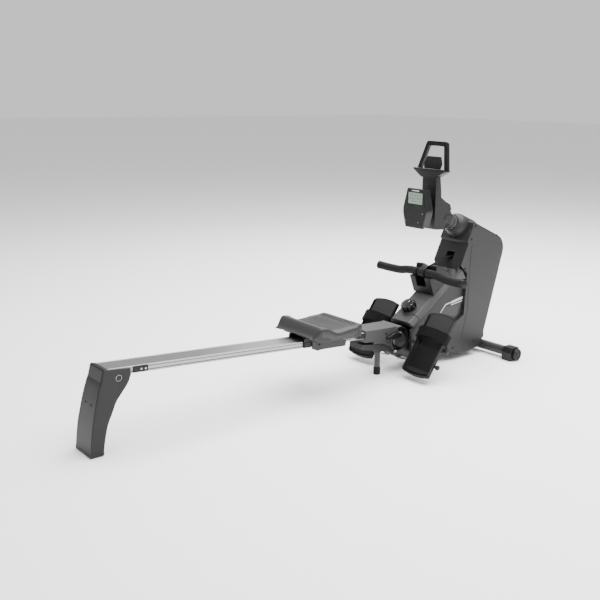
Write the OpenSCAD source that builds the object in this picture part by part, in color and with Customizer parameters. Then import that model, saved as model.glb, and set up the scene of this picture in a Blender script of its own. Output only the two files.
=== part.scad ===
// Folding magnetic rowing machine, millimetres, Z up.
// +X points from the rear foot to the flywheel housing, and Y = 0 is the plane of symmetry.
// Heights are above the floor, and "x" sizes are measured from the back edge of the rear foot.

/* [Overall] */
// Length from the back of the rear foot to the front of the housing
overall_length = 2072; // [2066:1:2080]
// Height of the hinge axis of the folding rail
hinge_height = 155; // [152:1:158]
// Downward slope of the rail towards the flywheel, in degrees
rail_slope = 3.77; // [3.6:0.01:3.9]

/* [Rail and seat] */
// Width of the rail extrusion
rail_width = 87.5; // [84:0.5:90]
// Depth of the rail extrusion
rail_depth = 26; // [24:0.5:28]
// Width of the seat pad
seat_width = 260; // [240:1:270]
// Diameter of the seat rollers that run on top of the rail
top_roller_diameter = 24; // [22:1:25]
// Diameter of the guide rollers under the rail
low_roller_diameter = 14; // [12:1:15]

/* [Housing] */
// Outside width of the flywheel housing
housing_width = 160; // [156:1:164]
// Outside width of the boom
boom_width = 134; // [130:1:138]
// Wall thickness of the moulded shells
wall = 3; // [2.4:0.1:3.2]
// Width of the slot for the pull strap
slot_width = 54; // [44:1:60]

/* [Pull handle] */
// Distance between the ends of the pull handle
handle_width = 510; // [480:1:520]
// Diameter of the foam grips
grip_diameter = 36; // [28:1:38]
// Width of the pull strap
strap_width = 25; // [20:1:30]

/* [Feet] */
// Width of the front stabilizer over its caps
stabilizer_width = 520; // [500:1:560]
// Diameter of the stabilizer tube
stabilizer_diameter = 43; // [40:1:45]
// Length of a foot plate from heel to toe
pedal_length = 284; // [260:1:290]
// Width of a foot plate
pedal_width = 145; // [130:1:148]

/* [Drive] */
// Diameter of the flywheel
flywheel_diameter = 230; // [210:1:236]
// Diameter of the drive pulley
drive_pulley_diameter = 150; // [140:1:152]
// Diameter of the small pulley on the flywheel
flywheel_pulley_diameter = 40; // [36:1:44]
// Diameter of the strap reel where the strap winds
reel_diameter = 60; // [56:1:62]

/* [Hidden] */
$fn = 64;

// Hinge of the folding rail
hinge_x = 1431;
drum_radius = 56;
drum_width = 110;
hinge_pin_diameter = 12;
lug_y = 30;
lug_thickness = 8;

// Rail, in its own axes: u along the rail from the hinge, w square to it
rail_top = 44.7;
rail_bottom = rail_top - rail_depth;
rail_back = -1362;
rail_front = -70;
rail_wall = 3;
groove_depth = 6;
stop_length = 40;
rear_stop = -1254;
front_stop = -246;

// Seat carriage, in the rail's axes
seat_back = -553;
seat_front = -275;
carriage_back = -506;
carriage_front = -302;
carriage_bottom = rail_top + 2;
carriage_top = 66;
skirt_back = -494;
skirt_front = -320;
skirt_inner = 48;
skirt_outer = 55;
roller_gap = 0.4;
axle_back = -468;
axle_front = -346;
roller_y = 30;
top_roller_w = rail_top + roller_gap + top_roller_diameter / 2;
low_roller_w = rail_bottom - roller_gap - low_roller_diameter / 2;
roller_axle_diameter = 8;
low_axle_diameter = 5;

// Foot plates, along their own slope from the heel
heel_x = 1408;
heel_z = 36;
pedal_slope = 53.5;
pedal_middle = 167.5;
pedal_thickness = 12;
pivot_along = 137.6;
pivot_below = 26;
foot_axle_diameter = 16;
stop_bar_diameter = 12;
stop_along = 57.6;
strap_along = 152;
stop_below = pedal_thickness + stop_bar_diameter / 2 + 0.4;
pivot_x = heel_x + cos(pedal_slope) * pivot_along + sin(pedal_slope) * pivot_below;
pivot_z = heel_z + sin(pedal_slope) * pivot_along - cos(pedal_slope) * pivot_below;
stop_x = heel_x + cos(pedal_slope) * stop_along + sin(pedal_slope) * stop_below;
stop_z = heel_z + sin(pedal_slope) * stop_along - cos(pedal_slope) * stop_below;

// Boom, along its own slope
boom_x = 1500;
boom_z = 226;
boom_slope = 34.6;
boom_start = -19;
boom_length = 345;
shoulder = 18;
top_half_width = 50;
knob_along = 56;
knob_diameter = 68;
knob_height = 27;
knob_base = 9;
knob_stem_diameter = 8;

// Housing: outline corners as [x, z, radius]
half_housing = housing_width / 2;
half_boom = boom_width / 2;
front_nose = overall_length + 15;
housing_corners = [
  [1776, 436, 4], [1823, 533, 2], [1813, 542, 2], [1845, 596, 20], [1850, 628, 6],
  [front_nose, 524.4, 70], [1941, 38, 30], [1835, 29, 60], [1745, 36, 40], [1700, 80, 25],
  [1764, 182, 20], [1812, 206, 14], [1822, 396, 10]];
panel_low = [1768, 419];
panel_high = [1823, 533];
panel_lean = atan2(panel_high[0] - panel_low[0], panel_high[1] - panel_low[1]);
panel_half_width = 68;
slot_z = 478;
slot_height = 44;

// Drive line inside the housing
flywheel_x = 1850;
flywheel_z = 185;
flywheel_width = 28;
reel_x = 1940;
reel_z = 400;
roller_x = 1838;
roller_z = 462;
strap_roller_diameter = 24;
bracket_x = 1838;
bracket_z = 318;
axle_diameter = 12;
pin_diameter = 8;
running_gap = 0.1;
belt_inner = 24;
belt_outer = 34;
frame_plate_y = 40;
frame_plate_thickness = 4;
wound_strap = 8;

// Neck and mast
neck_x = 1772;
neck_z = 628;
neck_slope = 22.7;
neck_tube_diameter = 44;
mast_front_x = 1634;
mast_half_width = 38;
console_x = 1545;
console_split = 18;
console_depth = 55;
console_outline = [[-44, 787], [44, 787], [66, 700], [66, 680], [50, 622], [-50, 622], [-66, 680],
  [-66, 700]];
window_low = [-40, 716];
window_high = [40, 768];
button_places = [[-50, 683], [-29, 643], [45, 645]];
button_diameter = 9;

// Pull handle: points of the right half of the bar
bar_x = 1617;
bar_z = 413;
bar_diameter = 22;
clip_half_width = 20;
bar_points = [[bar_x, 0, bar_z], [bar_x, 60, bar_z], [bar_x - 1, 132, bar_z - 10],
  [bar_x - 22, handle_width / 2, bar_z - 5]];
strap_thickness = 2.5;
strap_start = [1653.5, 0, 429];
strap_bend = [roller_x, 0, roller_z + strap_roller_diameter / 2 + 2];
strap_end = [1928, 0, 441];

// Front stabilizer
stabilizer_x = 1985;
stabilizer_z = 34;
cap_length = 52;
wheel_diameter = 54;
wheel_width = 12;
half_tube = stabilizer_width / 2 - wheel_width - cap_length + 30;
wheel_x = 1987;
wheel_z = 30;
wheel_pin_diameter = 10;
leg_x = 1352;
leg_diameter = 25;

// Colours
frame_grey = "#4d4f52";
shell_grey = "#5a5c5f";
boom_grey = "#78797c";
cover_grey = "#959699";
plastic_black = "#2b2c2e";
steel = "#a9acb0";

// Moves sizes measured from the back of the rear foot to the middle of the machine
module placed() translate([-overall_length / 2, 0, 0]) children();

// The rail's axes: u towards the flywheel, w up and square to the rail
module on_rail() placed() translate([hinge_x, 0, hinge_height]) rotate([0, rail_slope, 0]) children();

// The boom's axes: along the top of the boom, and square to it
module on_boom() placed() translate([boom_x, 0, boom_z]) rotate([0, -boom_slope, 0]) children();

// A foot plate's axes: from heel to toe, and square to the foot
module on_pedal() placed() translate([heel_x, 0, heel_z]) rotate([0, -pedal_slope, 0]) children();

// The neck's axes: +z runs along the neck towards the console
module on_neck() placed() translate([neck_x, 0, neck_z]) rotate([0, neck_slope - 90, 0]) children();

// An upright plate: an outline of [x, z] points between two values of y
module plate(outline, y0, y1)
  translate([0, y1, 0]) rotate([90, 0, 0]) linear_extrude(y1 - y0) polygon(outline);

// A cross plate: an outline of [y, z] points between two values of x
module slice(outline, x0, x1)
  translate([x0, 0, 0]) rotate([90, 0, 90]) linear_extrude(x1 - x0) polygon(outline);

// A round bar along y
module bar(d, x, z, y0, y1)
  translate([x, y1, z]) rotate([90, 0, 0]) cylinder(d = d, h = y1 - y0);

// A box between two corners
module block(low, high) translate(low) cube(high - low);

// A round rod between two points
module rod(a, b, d) {
  run = b - a;
  translate(a) rotate([0, acos(run[2] / norm(run)), atan2(run[1], run[0])])
    cylinder(d = d, h = norm(run));
}

// A piece and its mirror image across the plane of symmetry
module pair() {
  children();
  mirror([0, 1, 0]) children();
}

function unit(v) = v / norm(v);

// The arc that rounds corner b, between its neighbours a and c
function corner_arc(a, b, c, r) =
  let (p = unit(a - b), q = unit(c - b), half = acos(p * q) / 2,
       middle = b + unit(p + q) * r / sin(half), from = b + p * r / tan(half) - middle,
       to = b + q * r / tan(half) - middle,
       start = atan2(from[1], from[0]), turn = atan2(to[1], to[0]) - start,
       sweep = turn > 180 ? turn - 360 : turn < -180 ? turn + 360 : turn,
       steps = max(2, ceil(abs(sweep) / 12)))
  [for (i = [0:steps]) middle + r * [cos(start + sweep * i / steps), sin(start + sweep * i / steps)]];

// An outline whose corners are rounded, from a list of [x, z, radius]
function rounded(corners) = let (n = len(corners), at = [for (c = corners) [c[0], c[1]]])
  [for (i = [0:n - 1]) each corner_arc(at[(i + n - 1) % n], at[i], at[(i + 1) % n], corners[i][2])];

// Steel frame: rear stub, hinge lugs, low beam, drive plates, neck tube and stabilizer saddle
module main_frame() color(frame_grey) placed() {
  lug = [[1418, 160], [1431, 172], [1446, 158], [1524, 144], [1530, 122], [1500, 44], [1430, 70], [1405, 98],
    [1407, 112]];
  side = [[1790, 44], [1925, 44], [1945, 110], [1985, 380], [1985, 430], [1900, 585], [1850, 580],
    [1822, 500], [1822, 280], [1790, 160]];
  difference() {
    union() {
      plate([[1222, 139], [1380, 103], [1400, 92], [1400, 128], [1380, 138], [1226, 160]], -38, 38);
      plate([[1375, 104], [1500, 38], [1560, 38], [1560, 62], [1512, 62], [1400, 128], [1375, 138]],
        -lug_y, lug_y);
      pair() plate(lug, lug_y, lug_y + lug_thickness);
      block([1550, -lug_y, 44], [1950, lug_y, 66]);
      pair() plate(side, frame_plate_y, frame_plate_y + frame_plate_thickness);
      block([1800, -frame_plate_y, 44], [1925, frame_plate_y, 62]);
      block([1856, -frame_plate_y, 556], [1896, frame_plate_y, 584]);
      plate([[1925, 40], [1963, 40], [1963, 56], [2004, 56], [2010, 64], [2006, 116], [1976, 118],
        [1940, 100]], -44, 44);
      translate([leg_x, 0, 100]) cylinder(d = leg_diameter + 8, h = 20);
    }
    bar(hinge_pin_diameter, hinge_x, hinge_height, -60, 60);
    bar(foot_axle_diameter, pivot_x, pivot_z, -60, 60);
    bar(stop_bar_diameter, stop_x, stop_z, -60, 60);
    bar(axle_diameter, flywheel_x, flywheel_z, -60, 60);
    bar(axle_diameter, reel_x, reel_z, -60, 60);
    bar(pin_diameter, roller_x, roller_z, -60, 60);
    bar(pin_diameter, bracket_x, bracket_z, -60, 60);
    bar(stabilizer_diameter, stabilizer_x, stabilizer_z, -60, 60);
    translate([leg_x, 0, 90]) cylinder(d = leg_diameter, h = 28);
  }
  translate([neck_x, 0, neck_z]) rotate([0, neck_slope - 90, 0]) translate([0, 0, -112])
    cylinder(d = neck_tube_diameter, h = 190);
}

// Hinge pin with a washer head on each side, outside the lugs
module hinge_pin() color(steel) placed() {
  head = lug_y + lug_thickness;
  bar(hinge_pin_diameter, hinge_x, hinge_height, -head - 4, head + 4);
  pair() bar(60, hinge_x, hinge_height, head + 0.2, head + 5);
}

// Tube leg under the hinge that carries the frame when the rail is folded
module mid_leg() color(frame_grey) placed() translate([leg_x, 0, 12])
  cylinder(d = leg_diameter, h = 105);

// Rubber ferrule of the tube leg
module mid_leg_foot() color(plastic_black) placed() translate([leg_x, 0, 0]) difference() {
  cylinder(d = leg_diameter + 5, h = 32);
  translate([0, 0, 12]) cylinder(d = leg_diameter, h = 30);
}

// Cross tube of the front stabilizer
module stabilizer_tube() color(frame_grey) placed()
  bar(stabilizer_diameter, stabilizer_x, stabilizer_z, -half_tube, half_tube);

// Faceted end cap of the stabilizer, which stands on the floor and carries a transport wheel
module stabilizer_cap() {
  outer = stabilizer_width / 2 - wheel_width - 1.5;
  inner = outer - cap_length;
  difference() {
    plate([[1953, 0], [2018, 0], [2020, 38], [2007, 61], [1965, 61], [1951, 40]], inner, outer);
    bar(stabilizer_diameter, stabilizer_x, stabilizer_z, inner - 1, half_tube);
  }
  bar(wheel_pin_diameter, wheel_x, wheel_z, outer - 1, stabilizer_width / 2);
}

module stabilizer_cap_left() color(plastic_black) placed() stabilizer_cap();
module stabilizer_cap_right() color(plastic_black) placed() mirror([0, 1, 0]) stabilizer_cap();

// Transport wheel at the outer end of a stabilizer cap, just clear of the floor
module transport_wheel() difference() {
  bar(wheel_diameter, wheel_x, wheel_z, stabilizer_width / 2 - wheel_width, stabilizer_width / 2);
  bar(wheel_pin_diameter + running_gap, wheel_x, wheel_z, 0, stabilizer_width);
}

module transport_wheel_left() color(plastic_black) placed() transport_wheel();
module transport_wheel_right() color(plastic_black) placed() mirror([0, 1, 0]) transport_wheel();

// Two cross bars: the upper one is the foot plates' axle, the lower one their stop
module foot_bars() color(steel) placed() {
  reach = pedal_middle + pedal_width / 2 + 8;
  bar(foot_axle_diameter, pivot_x, pivot_z, -reach, reach);
  bar(stop_bar_diameter, stop_x, stop_z, -reach, reach);
}

// Round plastic caps on the four ends of the cross bars
module crossbar_caps() color(plastic_black) placed() pair() {
  inner = pedal_middle + pedal_width / 2 + 1.5;
  difference() {
    union() {
      bar(foot_axle_diameter + 8, pivot_x, pivot_z, inner, inner + 13);
      bar(stop_bar_diameter + 8, stop_x, stop_z, inner, inner + 13);
    }
    bar(foot_axle_diameter, pivot_x, pivot_z, inner - 1, inner + 6.5);
    bar(stop_bar_diameter, stop_x, stop_z, inner - 1, inner + 6.5);
  }
}

// One half of the housing, on the +Y side, with its boom cheek
module housing_half() {
  outline = rounded(housing_corners);
  cheek = [[1486, 183], [1499, 193], [1830, 421.3], [1830, 210], [1750, 45], [1560, 52], [1492, 92]];
  floor_strip = [[1490, 92], [1560, 49], [1745, 42], [1745, 45], [1560, 52], [1492, 95]];
  difference() {
    plate(outline, 0, half_housing);
    translate([0, half_housing - wall, 0]) rotate([90, 0, 0]) linear_extrude(half_housing)
      offset(delta = -wall) polygon(outline);
    plate([[1740, 48], [1830, 210], [1830, 432], [1770, 432], [1690, 90]], -1, half_boom - wall);
    plate([[1760, 420], [1800, 420], [1836, 529], [1818, 536], [1760, 440]], -1, panel_half_width);
    translate([neck_x, 0, neck_z]) rotate([0, neck_slope - 90, 0]) translate([0, 0, -100])
      cylinder(d = 72, h = 160);
    block([1924, -1, 20], [2020, 45, 121]);
    block([1690, -1, 40], [1760, lug_y + 1, 70]);
  }
  difference() {
    plate(cheek, half_boom - wall, half_boom);
    bar(foot_axle_diameter, pivot_x, pivot_z, 0, half_housing);
  }
  plate(floor_strip, lug_y + lug_thickness + 1, half_boom);
}

module housing_left() color(shell_grey) placed() housing_half();
module housing_right() color(shell_grey) placed() mirror([0, 1, 0]) housing_half();

// Front panel of the housing, facing the rower, with the slot for the pull strap
module front_panel() color(boom_grey) placed() difference() {
  lean = [sin(panel_lean), cos(panel_lean)];
  inward = [cos(panel_lean), -sin(panel_lean)] * wall;
  plate([panel_low, panel_high, panel_high + inward, panel_low + inward],
    -panel_half_width, panel_half_width);
  block([1760, -slot_width / 2, slot_z - slot_height / 2], [1860, slot_width / 2, slot_z + slot_height / 2]);
}

// Top cover of the boom, with sloping shoulders and the knob's boss
module boom_cover() color(boom_grey) on_boom() difference() {
  outer = [[-half_boom, -shoulder - 8], [-half_boom, -shoulder], [-top_half_width, 0], [top_half_width, 0],
    [half_boom, -shoulder], [half_boom, -shoulder - 8]];
  inner = [for (p = outer) [p[0] * (1 - wall / half_boom), p[1] - wall]];
  union() {
    slice(outer, boom_start, boom_start + boom_length);
    translate([knob_along, 0, 0]) cylinder(d = knob_diameter - 8, h = knob_base - 1);
  }
  slice(inner, boom_start + wall, boom_start + boom_length + 1);
  translate([knob_along, 0, -30]) cylinder(d = knob_stem_diameter + running_gap, h = 60);
}

// Screws that join the two halves of the housing, six on each side
module housing_screws() color(plastic_black) placed() pair()
  for (p = [[1864, 608], [2017, 552], [1842, 549], [1806, 418], [1888, 70], [1748, 62]])
    bar(8, p[0], p[1], half_housing, half_housing + 1.2);

// Domed shroud round the root of the neck
module neck_shroud() color(shell_grey) difference() {
  union() {
    on_neck() translate([0, 0, -68]) cylinder(d = 76, h = 50);
    on_neck() translate([0, 0, -74]) sphere(d = 104);
  }
  on_neck() translate([0, 0, -150]) cylinder(d = neck_tube_diameter + 2, h = 200);
  placed() plate(rounded(housing_corners), -60, 60);
}

// Ring that covers the joint between shroud and mast
module neck_collar() color(boom_grey) on_neck() difference() {
  translate([0, 0, -18]) cylinder(d = 68, h = 68);
  translate([0, 0, -30]) cylinder(d = neck_tube_diameter, h = 100);
}

// Faceted mast with the elbow that clamps on the neck tube
module mast() color(plastic_black) difference() {
  placed() plate([[mast_front_x, 830], [1662, 830], [1673, 745], [1733, 710], [1742, 690], [1699, 601],
    [1642, 605], [mast_front_x, 622]], -mast_half_width, mast_half_width);
  on_neck() translate([0, 0, -20]) cylinder(d = neck_tube_diameter, h = 98.5);
}

// Phone and tablet holder: a boat-shaped shelf and a loop to lean the screen on
module tablet_holder() color(plastic_black) placed() {
  intersection() {
    slice([[-97, 859], [-60, 841], [-38, 830], [38, 830], [60, 841], [97, 859], [92, 863], [-92, 863]], 1620, 1668);
    translate([0, 0, 820]) linear_extrude(60) polygon([each shelf_front(0), [1668, 97], [1668, -97]]);
  }
  translate([0, 0, 862]) linear_extrude(7) polygon([each shelf_front(0), for (p = shelf_front(8)) [p[0], -p[1]]]);
  translate([1655, 0, 859]) rotate([0, 12, 0]) difference() {
    slice([[-88, 0], [-57, 127], [-50, 131], [50, 131], [57, 127], [88, 0]], -7, 7);
    slice([[-69, 4], [-42, 108], [42, 108], [69, 4]], -8, 8);
  }
}

// The shelf's bowed front edge, set back by some distance, from the right tip to the left one
function shelf_front(back) = [for (y = [-96:16:96]) [1626 + back + 30 * pow(y / 97, 2), y]];

// Soft pad behind the screen
module tablet_pad() color("#1c1d1f") placed() translate([1655, 0, 859]) rotate([0, 12, 0])
  slice([[-46, 4], [-50, 28], [-38, 60], [38, 60], [50, 28], [46, 4]], -15, -7);

// Front shell of the console, with its window recess and button holes
module console_front() color(plastic_black) placed() difference() {
  slice(console_outline, console_x, console_x + console_split);
  block([console_x - 1, window_low[0], window_low[1]], [console_x + 2, window_high[0], window_high[1]]);
  for (p = button_places) translate([console_x - 1, p[0], p[1]]) rotate([0, 90, 0])
    cylinder(d = button_diameter + running_gap, h = 9);
}

// Back shell of the console and the arm that holds it on the mast
module console_back() color(plastic_black) placed() {
  slice([for (p = console_outline) [p[0] * 0.94, 704 + (p[1] - 704) * 0.94]], console_x + console_split,
    console_x + console_depth);
  block([console_x + console_depth, -22, 672], [mast_front_x, 22, 736]);
}

// Clear window over the display
module console_window() color("#8f9c94") placed()
  block([console_x + 0.5, window_low[0] + 0.2, window_low[1] + 0.2],
    [console_x + 2, window_high[0] - 0.2, window_high[1] - 0.2]);

// A round push button of the console
module console_button(p) color(cover_grey) placed() translate([console_x - 2, p[0], p[1]])
  rotate([0, 90, 0]) cylinder(d = button_diameter, h = 6);

module button_top() console_button(button_places[0]);
module button_middle() console_button(button_places[1]);
module button_side() console_button(button_places[2]);

// Cradle that holds the pull handle: two forked cheeks on a base
module handle_cradle() color(plastic_black) placed() difference() {
  union() {
    pair() plate([[1628, 315.5], [1597, 393], [1603, 398.2], [1631, 398.2], [1639, 446], [1660, 444],
      [1700, 424], [1745, 396.5]], 26, 62);
    plate([[1628, 315.5], [1607, 370], [1614, 372], [1640, 324]], -30, 30);
    plate([[1628, 315.5], [1745, 396.5], [1740, 403], [1624, 323]], -30, 30);
  }
  bar(grip_diameter + 1.2, bar_x, bar_z, -80, 80);
}

// Scalloped resistance knob on its stem
module tension_knob() color("#1c1d1f") on_boom() translate([knob_along, 0, 0]) {
  difference() {
    translate([0, 0, knob_base]) cylinder(d = knob_diameter, h = knob_height);
    for (i = [0:11]) rotate(i * 30 + 15) translate([knob_diameter / 2 + 4, 0, 0]) cylinder(d = 14, h = 60);
  }
  translate([0, 0, -20]) cylinder(d = knob_stem_diameter, h = 22 + knob_base);
  translate([0, 0, -20]) cylinder(d = 20, h = 8);
}

// Cable from the knob to the magnet bracket, inside the boom
module tension_cable() color(plastic_black) placed() {
  low = [1568, 0, 224];
  turn = [1610, 0, 206];
  high = [1692, 0, 256];
  rod(low, turn, 4);
  translate(turn) sphere(d = 6);
  rod(turn, high, 4);
}

// Swinging bracket whose curved shoe holds the magnets over the flywheel's rim
module magnet_bracket() color(cover_grey) placed() {
  shoe = flywheel_diameter / 2 + 3;
  difference() {
    union() {
      translate([flywheel_x, 14, flywheel_z]) rotate([90, 0, 0]) linear_extrude(28) polygon([
        for (a = [97:4:165]) shoe * [cos(a), sin(a)],
        for (a = [165:-4:97]) (shoe + 9) * [cos(a), sin(a)]]);
      bar(16, bracket_x, bracket_z, -14, 14);
    }
    bar(pin_diameter + running_gap, bracket_x, bracket_z, -20, 20);
  }
}

// Cast flywheel with its small belt pulley
module flywheel() color(steel) placed() difference() {
  half = flywheel_width / 2;
  union() {
    difference() {
      bar(flywheel_diameter, flywheel_x, flywheel_z, -half, half);
      bar(flywheel_diameter - 50, flywheel_x, flywheel_z, -half - 1, -half + 8);
    }
    bar(flywheel_pulley_diameter, flywheel_x, flywheel_z, half - 1, belt_outer + 2);
    bar(30, flywheel_x, flywheel_z, -half - 8, 0);
  }
  bar(axle_diameter + running_gap, flywheel_x, flywheel_z, -60, 60);
}

// Large belt pulley on the reel's axle
module drive_pulley() color(plastic_black) placed() difference() {
  bar(drive_pulley_diameter, reel_x, reel_z, belt_inner - 1, belt_outer + 1);
  bar(axle_diameter + running_gap, reel_x, reel_z, 0, 60);
  for (a = [0:60:300]) bar(30, reel_x + 45 * cos(a), reel_z + 45 * sin(a), 0, 60);
}

// Reel with the wound part of the pull strap
module strap_reel() color(plastic_black) placed() difference() {
  union() {
    bar(reel_diameter + 2 * wound_strap, reel_x, reel_z, -14, 14);
    pair() bar(90, reel_x, reel_z, 14, 17);
    bar(40, reel_x, reel_z, 17, belt_inner - 1);
  }
  bar(axle_diameter + running_gap, reel_x, reel_z, -60, 60);
}

// Guide roller just behind the slot
module strap_roller() color(plastic_black) placed() difference() {
  bar(strap_roller_diameter, roller_x, roller_z, -17, 17);
  bar(pin_diameter + running_gap, roller_x, roller_z, -60, 60);
}

// Fixed axles of flywheel, reel and roller, and the magnet bracket's pin
module inner_axles() color(steel) placed() {
  reach = frame_plate_y + frame_plate_thickness + 3;
  bar(axle_diameter, flywheel_x, flywheel_z, -reach, reach);
  bar(axle_diameter, reel_x, reel_z, -reach, reach);
  bar(pin_diameter, roller_x, roller_z, -reach, reach);
  bar(pin_diameter, bracket_x, bracket_z, -reach, reach);
}

// Ribbed belt between the two pulleys
module drive_belt() color("#1c1d1f") placed() translate([0, belt_outer, 0]) rotate([90, 0, 0])
  linear_extrude(belt_outer - belt_inner) difference() {
    belt_path(2.8);
    belt_path(0.3);
  }

module belt_path(out) hull() {
  translate([flywheel_x, flywheel_z]) circle(d = flywheel_pulley_diameter + 2 * out);
  translate([reel_x, reel_z]) circle(d = drive_pulley_diameter + 2 * out);
}

// Flat coil spring that winds the strap back, in its drum
module recoil_spring() color(steel) placed() difference() {
  bar(110, reel_x, reel_z, -36, -20);
  bar(22, reel_x, reel_z, -40, 0);
}

// Hollow aluminium rail with a groove along each side
module rail() color("#b9bbbd") on_rail() difference() {
  middle = rail_top - rail_depth / 2;
  block([rail_back, -rail_width / 2, rail_bottom], [rail_front, rail_width / 2, rail_top]);
  block([rail_back - 1, groove_depth + rail_wall - rail_width / 2, rail_bottom + rail_wall],
    [rail_front + 1, rail_width / 2 - groove_depth - rail_wall, rail_top - rail_wall]);
  pair() block([rail_back - 1, rail_width / 2 - groove_depth, middle - 4],
    [rail_front + 1, rail_width, middle + 5]);
}

// Steel tongue in the rail's end with the barrel that turns on the hinge pin
module hinge_bracket() color(steel) on_rail() difference() {
  union() {
    plate([[-160, 22.5], [-160, 41], [-40, 41], [8, 13], [14, 0], [0, -14], [-14, -6], [-60, 22.5]], -28, 28);
    bar(28, 0, 0, -28, 28);
  }
  bar(hinge_pin_diameter + running_gap, 0, 0, -60, 60);
}

// Moulded cover of the rail's front end, with the drum round the hinge
module hinge_cover() color(cover_grey) on_rail() difference() {
  half = drum_width / 2;
  union() {
    plate([[-203, 2], [-203, 50], [-197, 53], [-60, 54], [0, drum_radius], [0, -drum_radius + 4],
      [-30, -46], [-52, -12]], -51, 51);
    bar(2 * drum_radius, 0, 0, -half, half);
  }
  plate([[-204, 5], [-204, 48], [-60, 50], [0, 50], [0, -50], [-28, -42], [-50, -9]], -48, 48);
  bar(2 * drum_radius - 6, 0, 0, -half - 1, half + 1);
  plate([[-20, -5], [-53, -13.5], [-53, -80], [80, -80], [80, 60], [14, 77], [0, 0]], -43, 43);
  bar(12, -37, 18, -60, 0);
  block([-204, -51, -20], [-190, 51, 4]);
}

// Spring-loaded locking pin with its pull grip, at the right-hand side of the hinge
module lock_knob() color(plastic_black) on_rail() {
  bar(10, -37, 18, -58, -lug_y - lug_thickness - 1);
  bar(20, -37, 18, -66, -57);
  translate([-37, -68, 18]) rotate([0, -6, 0]) block([-18, -4, -8], [32, 11, 8]);
}

// Curved rear leg: sections as [height, back, front, half width]
module rear_leg() color(shell_grey) placed() difference() {
  sections = [[291, 57, 150, 50], [276, 53, 156, 50.5], [256, 49, 157, 51], [231, 41, 145, 52],
    [186, 27, 110, 54], [138, 15, 83, 56], [80, 5, 58, 57.5], [14, 0.5, 49, 58.5]];
  for (i = [0:6]) hull() for (s = [sections[i], sections[i + 1]])
    block([s[1], -s[3], s[0] - 0.5], [s[2], s[3], s[0]]);
  translate([hinge_x, 0, hinge_height]) rotate([0, rail_slope, 0]) {
    block([rail_back - 0.3, -rail_width / 2 - 0.2, rail_bottom - 0.3],
      [-1000, rail_width / 2 + 0.2, rail_top + 20]);
    block([rail_back - 0.3, -80, rail_top - 2], [-1000, 80, rail_top + 20]);
  }
}

// Ribbed rubber foot under the rear leg
module rear_foot() color(plastic_black) placed() difference() {
  block([0, -58.75, 0], [48, 58.75, 13.5]);
  for (i = [-5:5]) translate([-1, i * 10 - 1.5, -1]) cube([12, 3, 5]);
}

// End stops of the seat's travel, in the rail's side grooves, one pair at each end
module rail_stops() color(plastic_black) on_rail() pair() for (u = [rear_stop, front_stop]) {
  middle = rail_top - rail_depth / 2;
  block([u, rail_width / 2 - groove_depth + 0.2, middle - 3.5], [u + stop_length, rail_width / 2 + 0.3, middle + 4.5]);
  block([u, rail_width / 2 + 0.3, middle - 9], [u + stop_length, rail_width / 2 + 5, middle + 10]);
}

// Moulded seat: raised back edge, dished middle and rising front
module seat_pad() color(shell_grey) on_rail() difference() {
  top = [[seat_back, 74], [-506, 113], [-486, 109], [-430, 90], [-390, 92], [-331, 108], [-285, 104],
    [seat_front, 96]];
  union() {
    plate(concat(top, [[seat_front - 5, 70], [-300, carriage_top], [seat_back + 6, carriage_top]]), -62, 62);
    pair() plate(concat(top, [[seat_front - 4, 66], [-330, 58], [-420, 54], [seat_back + 12, 62]]),
      62, seat_width / 2);
  }
  for (u = [axle_back, axle_front])
    pair() block([u - 14, roller_y - 9, carriage_top - 1], [u + 14, roller_y + 9, carriage_top + 5]);
}

// Carriage body under the seat, with pockets for the top rollers
module seat_carriage() color(plastic_black) on_rail() difference() {
  union() {
    block([carriage_back, -skirt_inner, carriage_bottom], [carriage_front, skirt_inner, carriage_top]);
    pair() block([skirt_back - 38, 40, rail_top + 3], [skirt_back - 4, skirt_inner, carriage_bottom + 10]);
    pair() block([skirt_back - 38, rail_width / 2 + 1, rail_bottom + 2],
      [skirt_back + 4, skirt_inner, carriage_bottom + 10]);
  }
  for (u = [axle_back, axle_front]) {
    bar(roller_axle_diameter, u, top_roller_w, -60, 60);
    pair() block([u - 14, roller_y - 9, carriage_bottom - 1], [u + 14, roller_y + 9, carriage_top + 1]);
  }
}

// Side skirts that hang past the rail and carry the lower guide rollers
module seat_skirts() color(shell_grey) on_rail() difference() {
  pair() plate([[skirt_back, 50], [skirt_back, 13], [-466, 2], [-446, 4], [-334, 4], [skirt_front, 18],
    [skirt_front, 50]], skirt_inner, skirt_outer);
  for (u = [axle_back + 16, axle_front - 4]) bar(low_axle_diameter, u, low_roller_w, -60, 60);
}

// Axles of the seat rollers: two above the rail, four stubs below
module roller_axles() color(steel) on_rail() {
  for (u = [axle_back, axle_front]) bar(roller_axle_diameter, u, top_roller_w, -46, 46);
  for (u = [axle_back + 16, axle_front - 4])
    pair() bar(low_axle_diameter, u, low_roller_w, 26, skirt_outer - 1);
}

// Two rollers on one axle
module roller_pair(d, bore, u, w, y0, y1) color("#3a3b3d") on_rail() pair() difference() {
  bar(d, u, w, y0, y1);
  bar(bore + running_gap, u, w, 0, 60);
}

module rollers_top_front() roller_pair(top_roller_diameter, roller_axle_diameter, axle_front, top_roller_w, 23, 37);
module rollers_top_rear() roller_pair(top_roller_diameter, roller_axle_diameter, axle_back, top_roller_w, 23, 37);
module rollers_low_front() roller_pair(low_roller_diameter, low_axle_diameter, axle_front - 4, low_roller_w, 30, 42);
module rollers_low_rear() roller_pair(low_roller_diameter, low_axle_diameter, axle_back + 16, low_roller_w, 30, 42);

// Steel handle bar with the strap clip at its middle
module handle_bar() color(plastic_black) placed() {
  pair() bent_bar(bar_diameter);
  bar(37, bar_x, bar_z, -clip_half_width, clip_half_width);
  plate([[bar_x, bar_z - 8], [1650, 420], [1654, 426], [1650, 440], [1632, 446], [bar_x, 428]], -18, 18);
}

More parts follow.
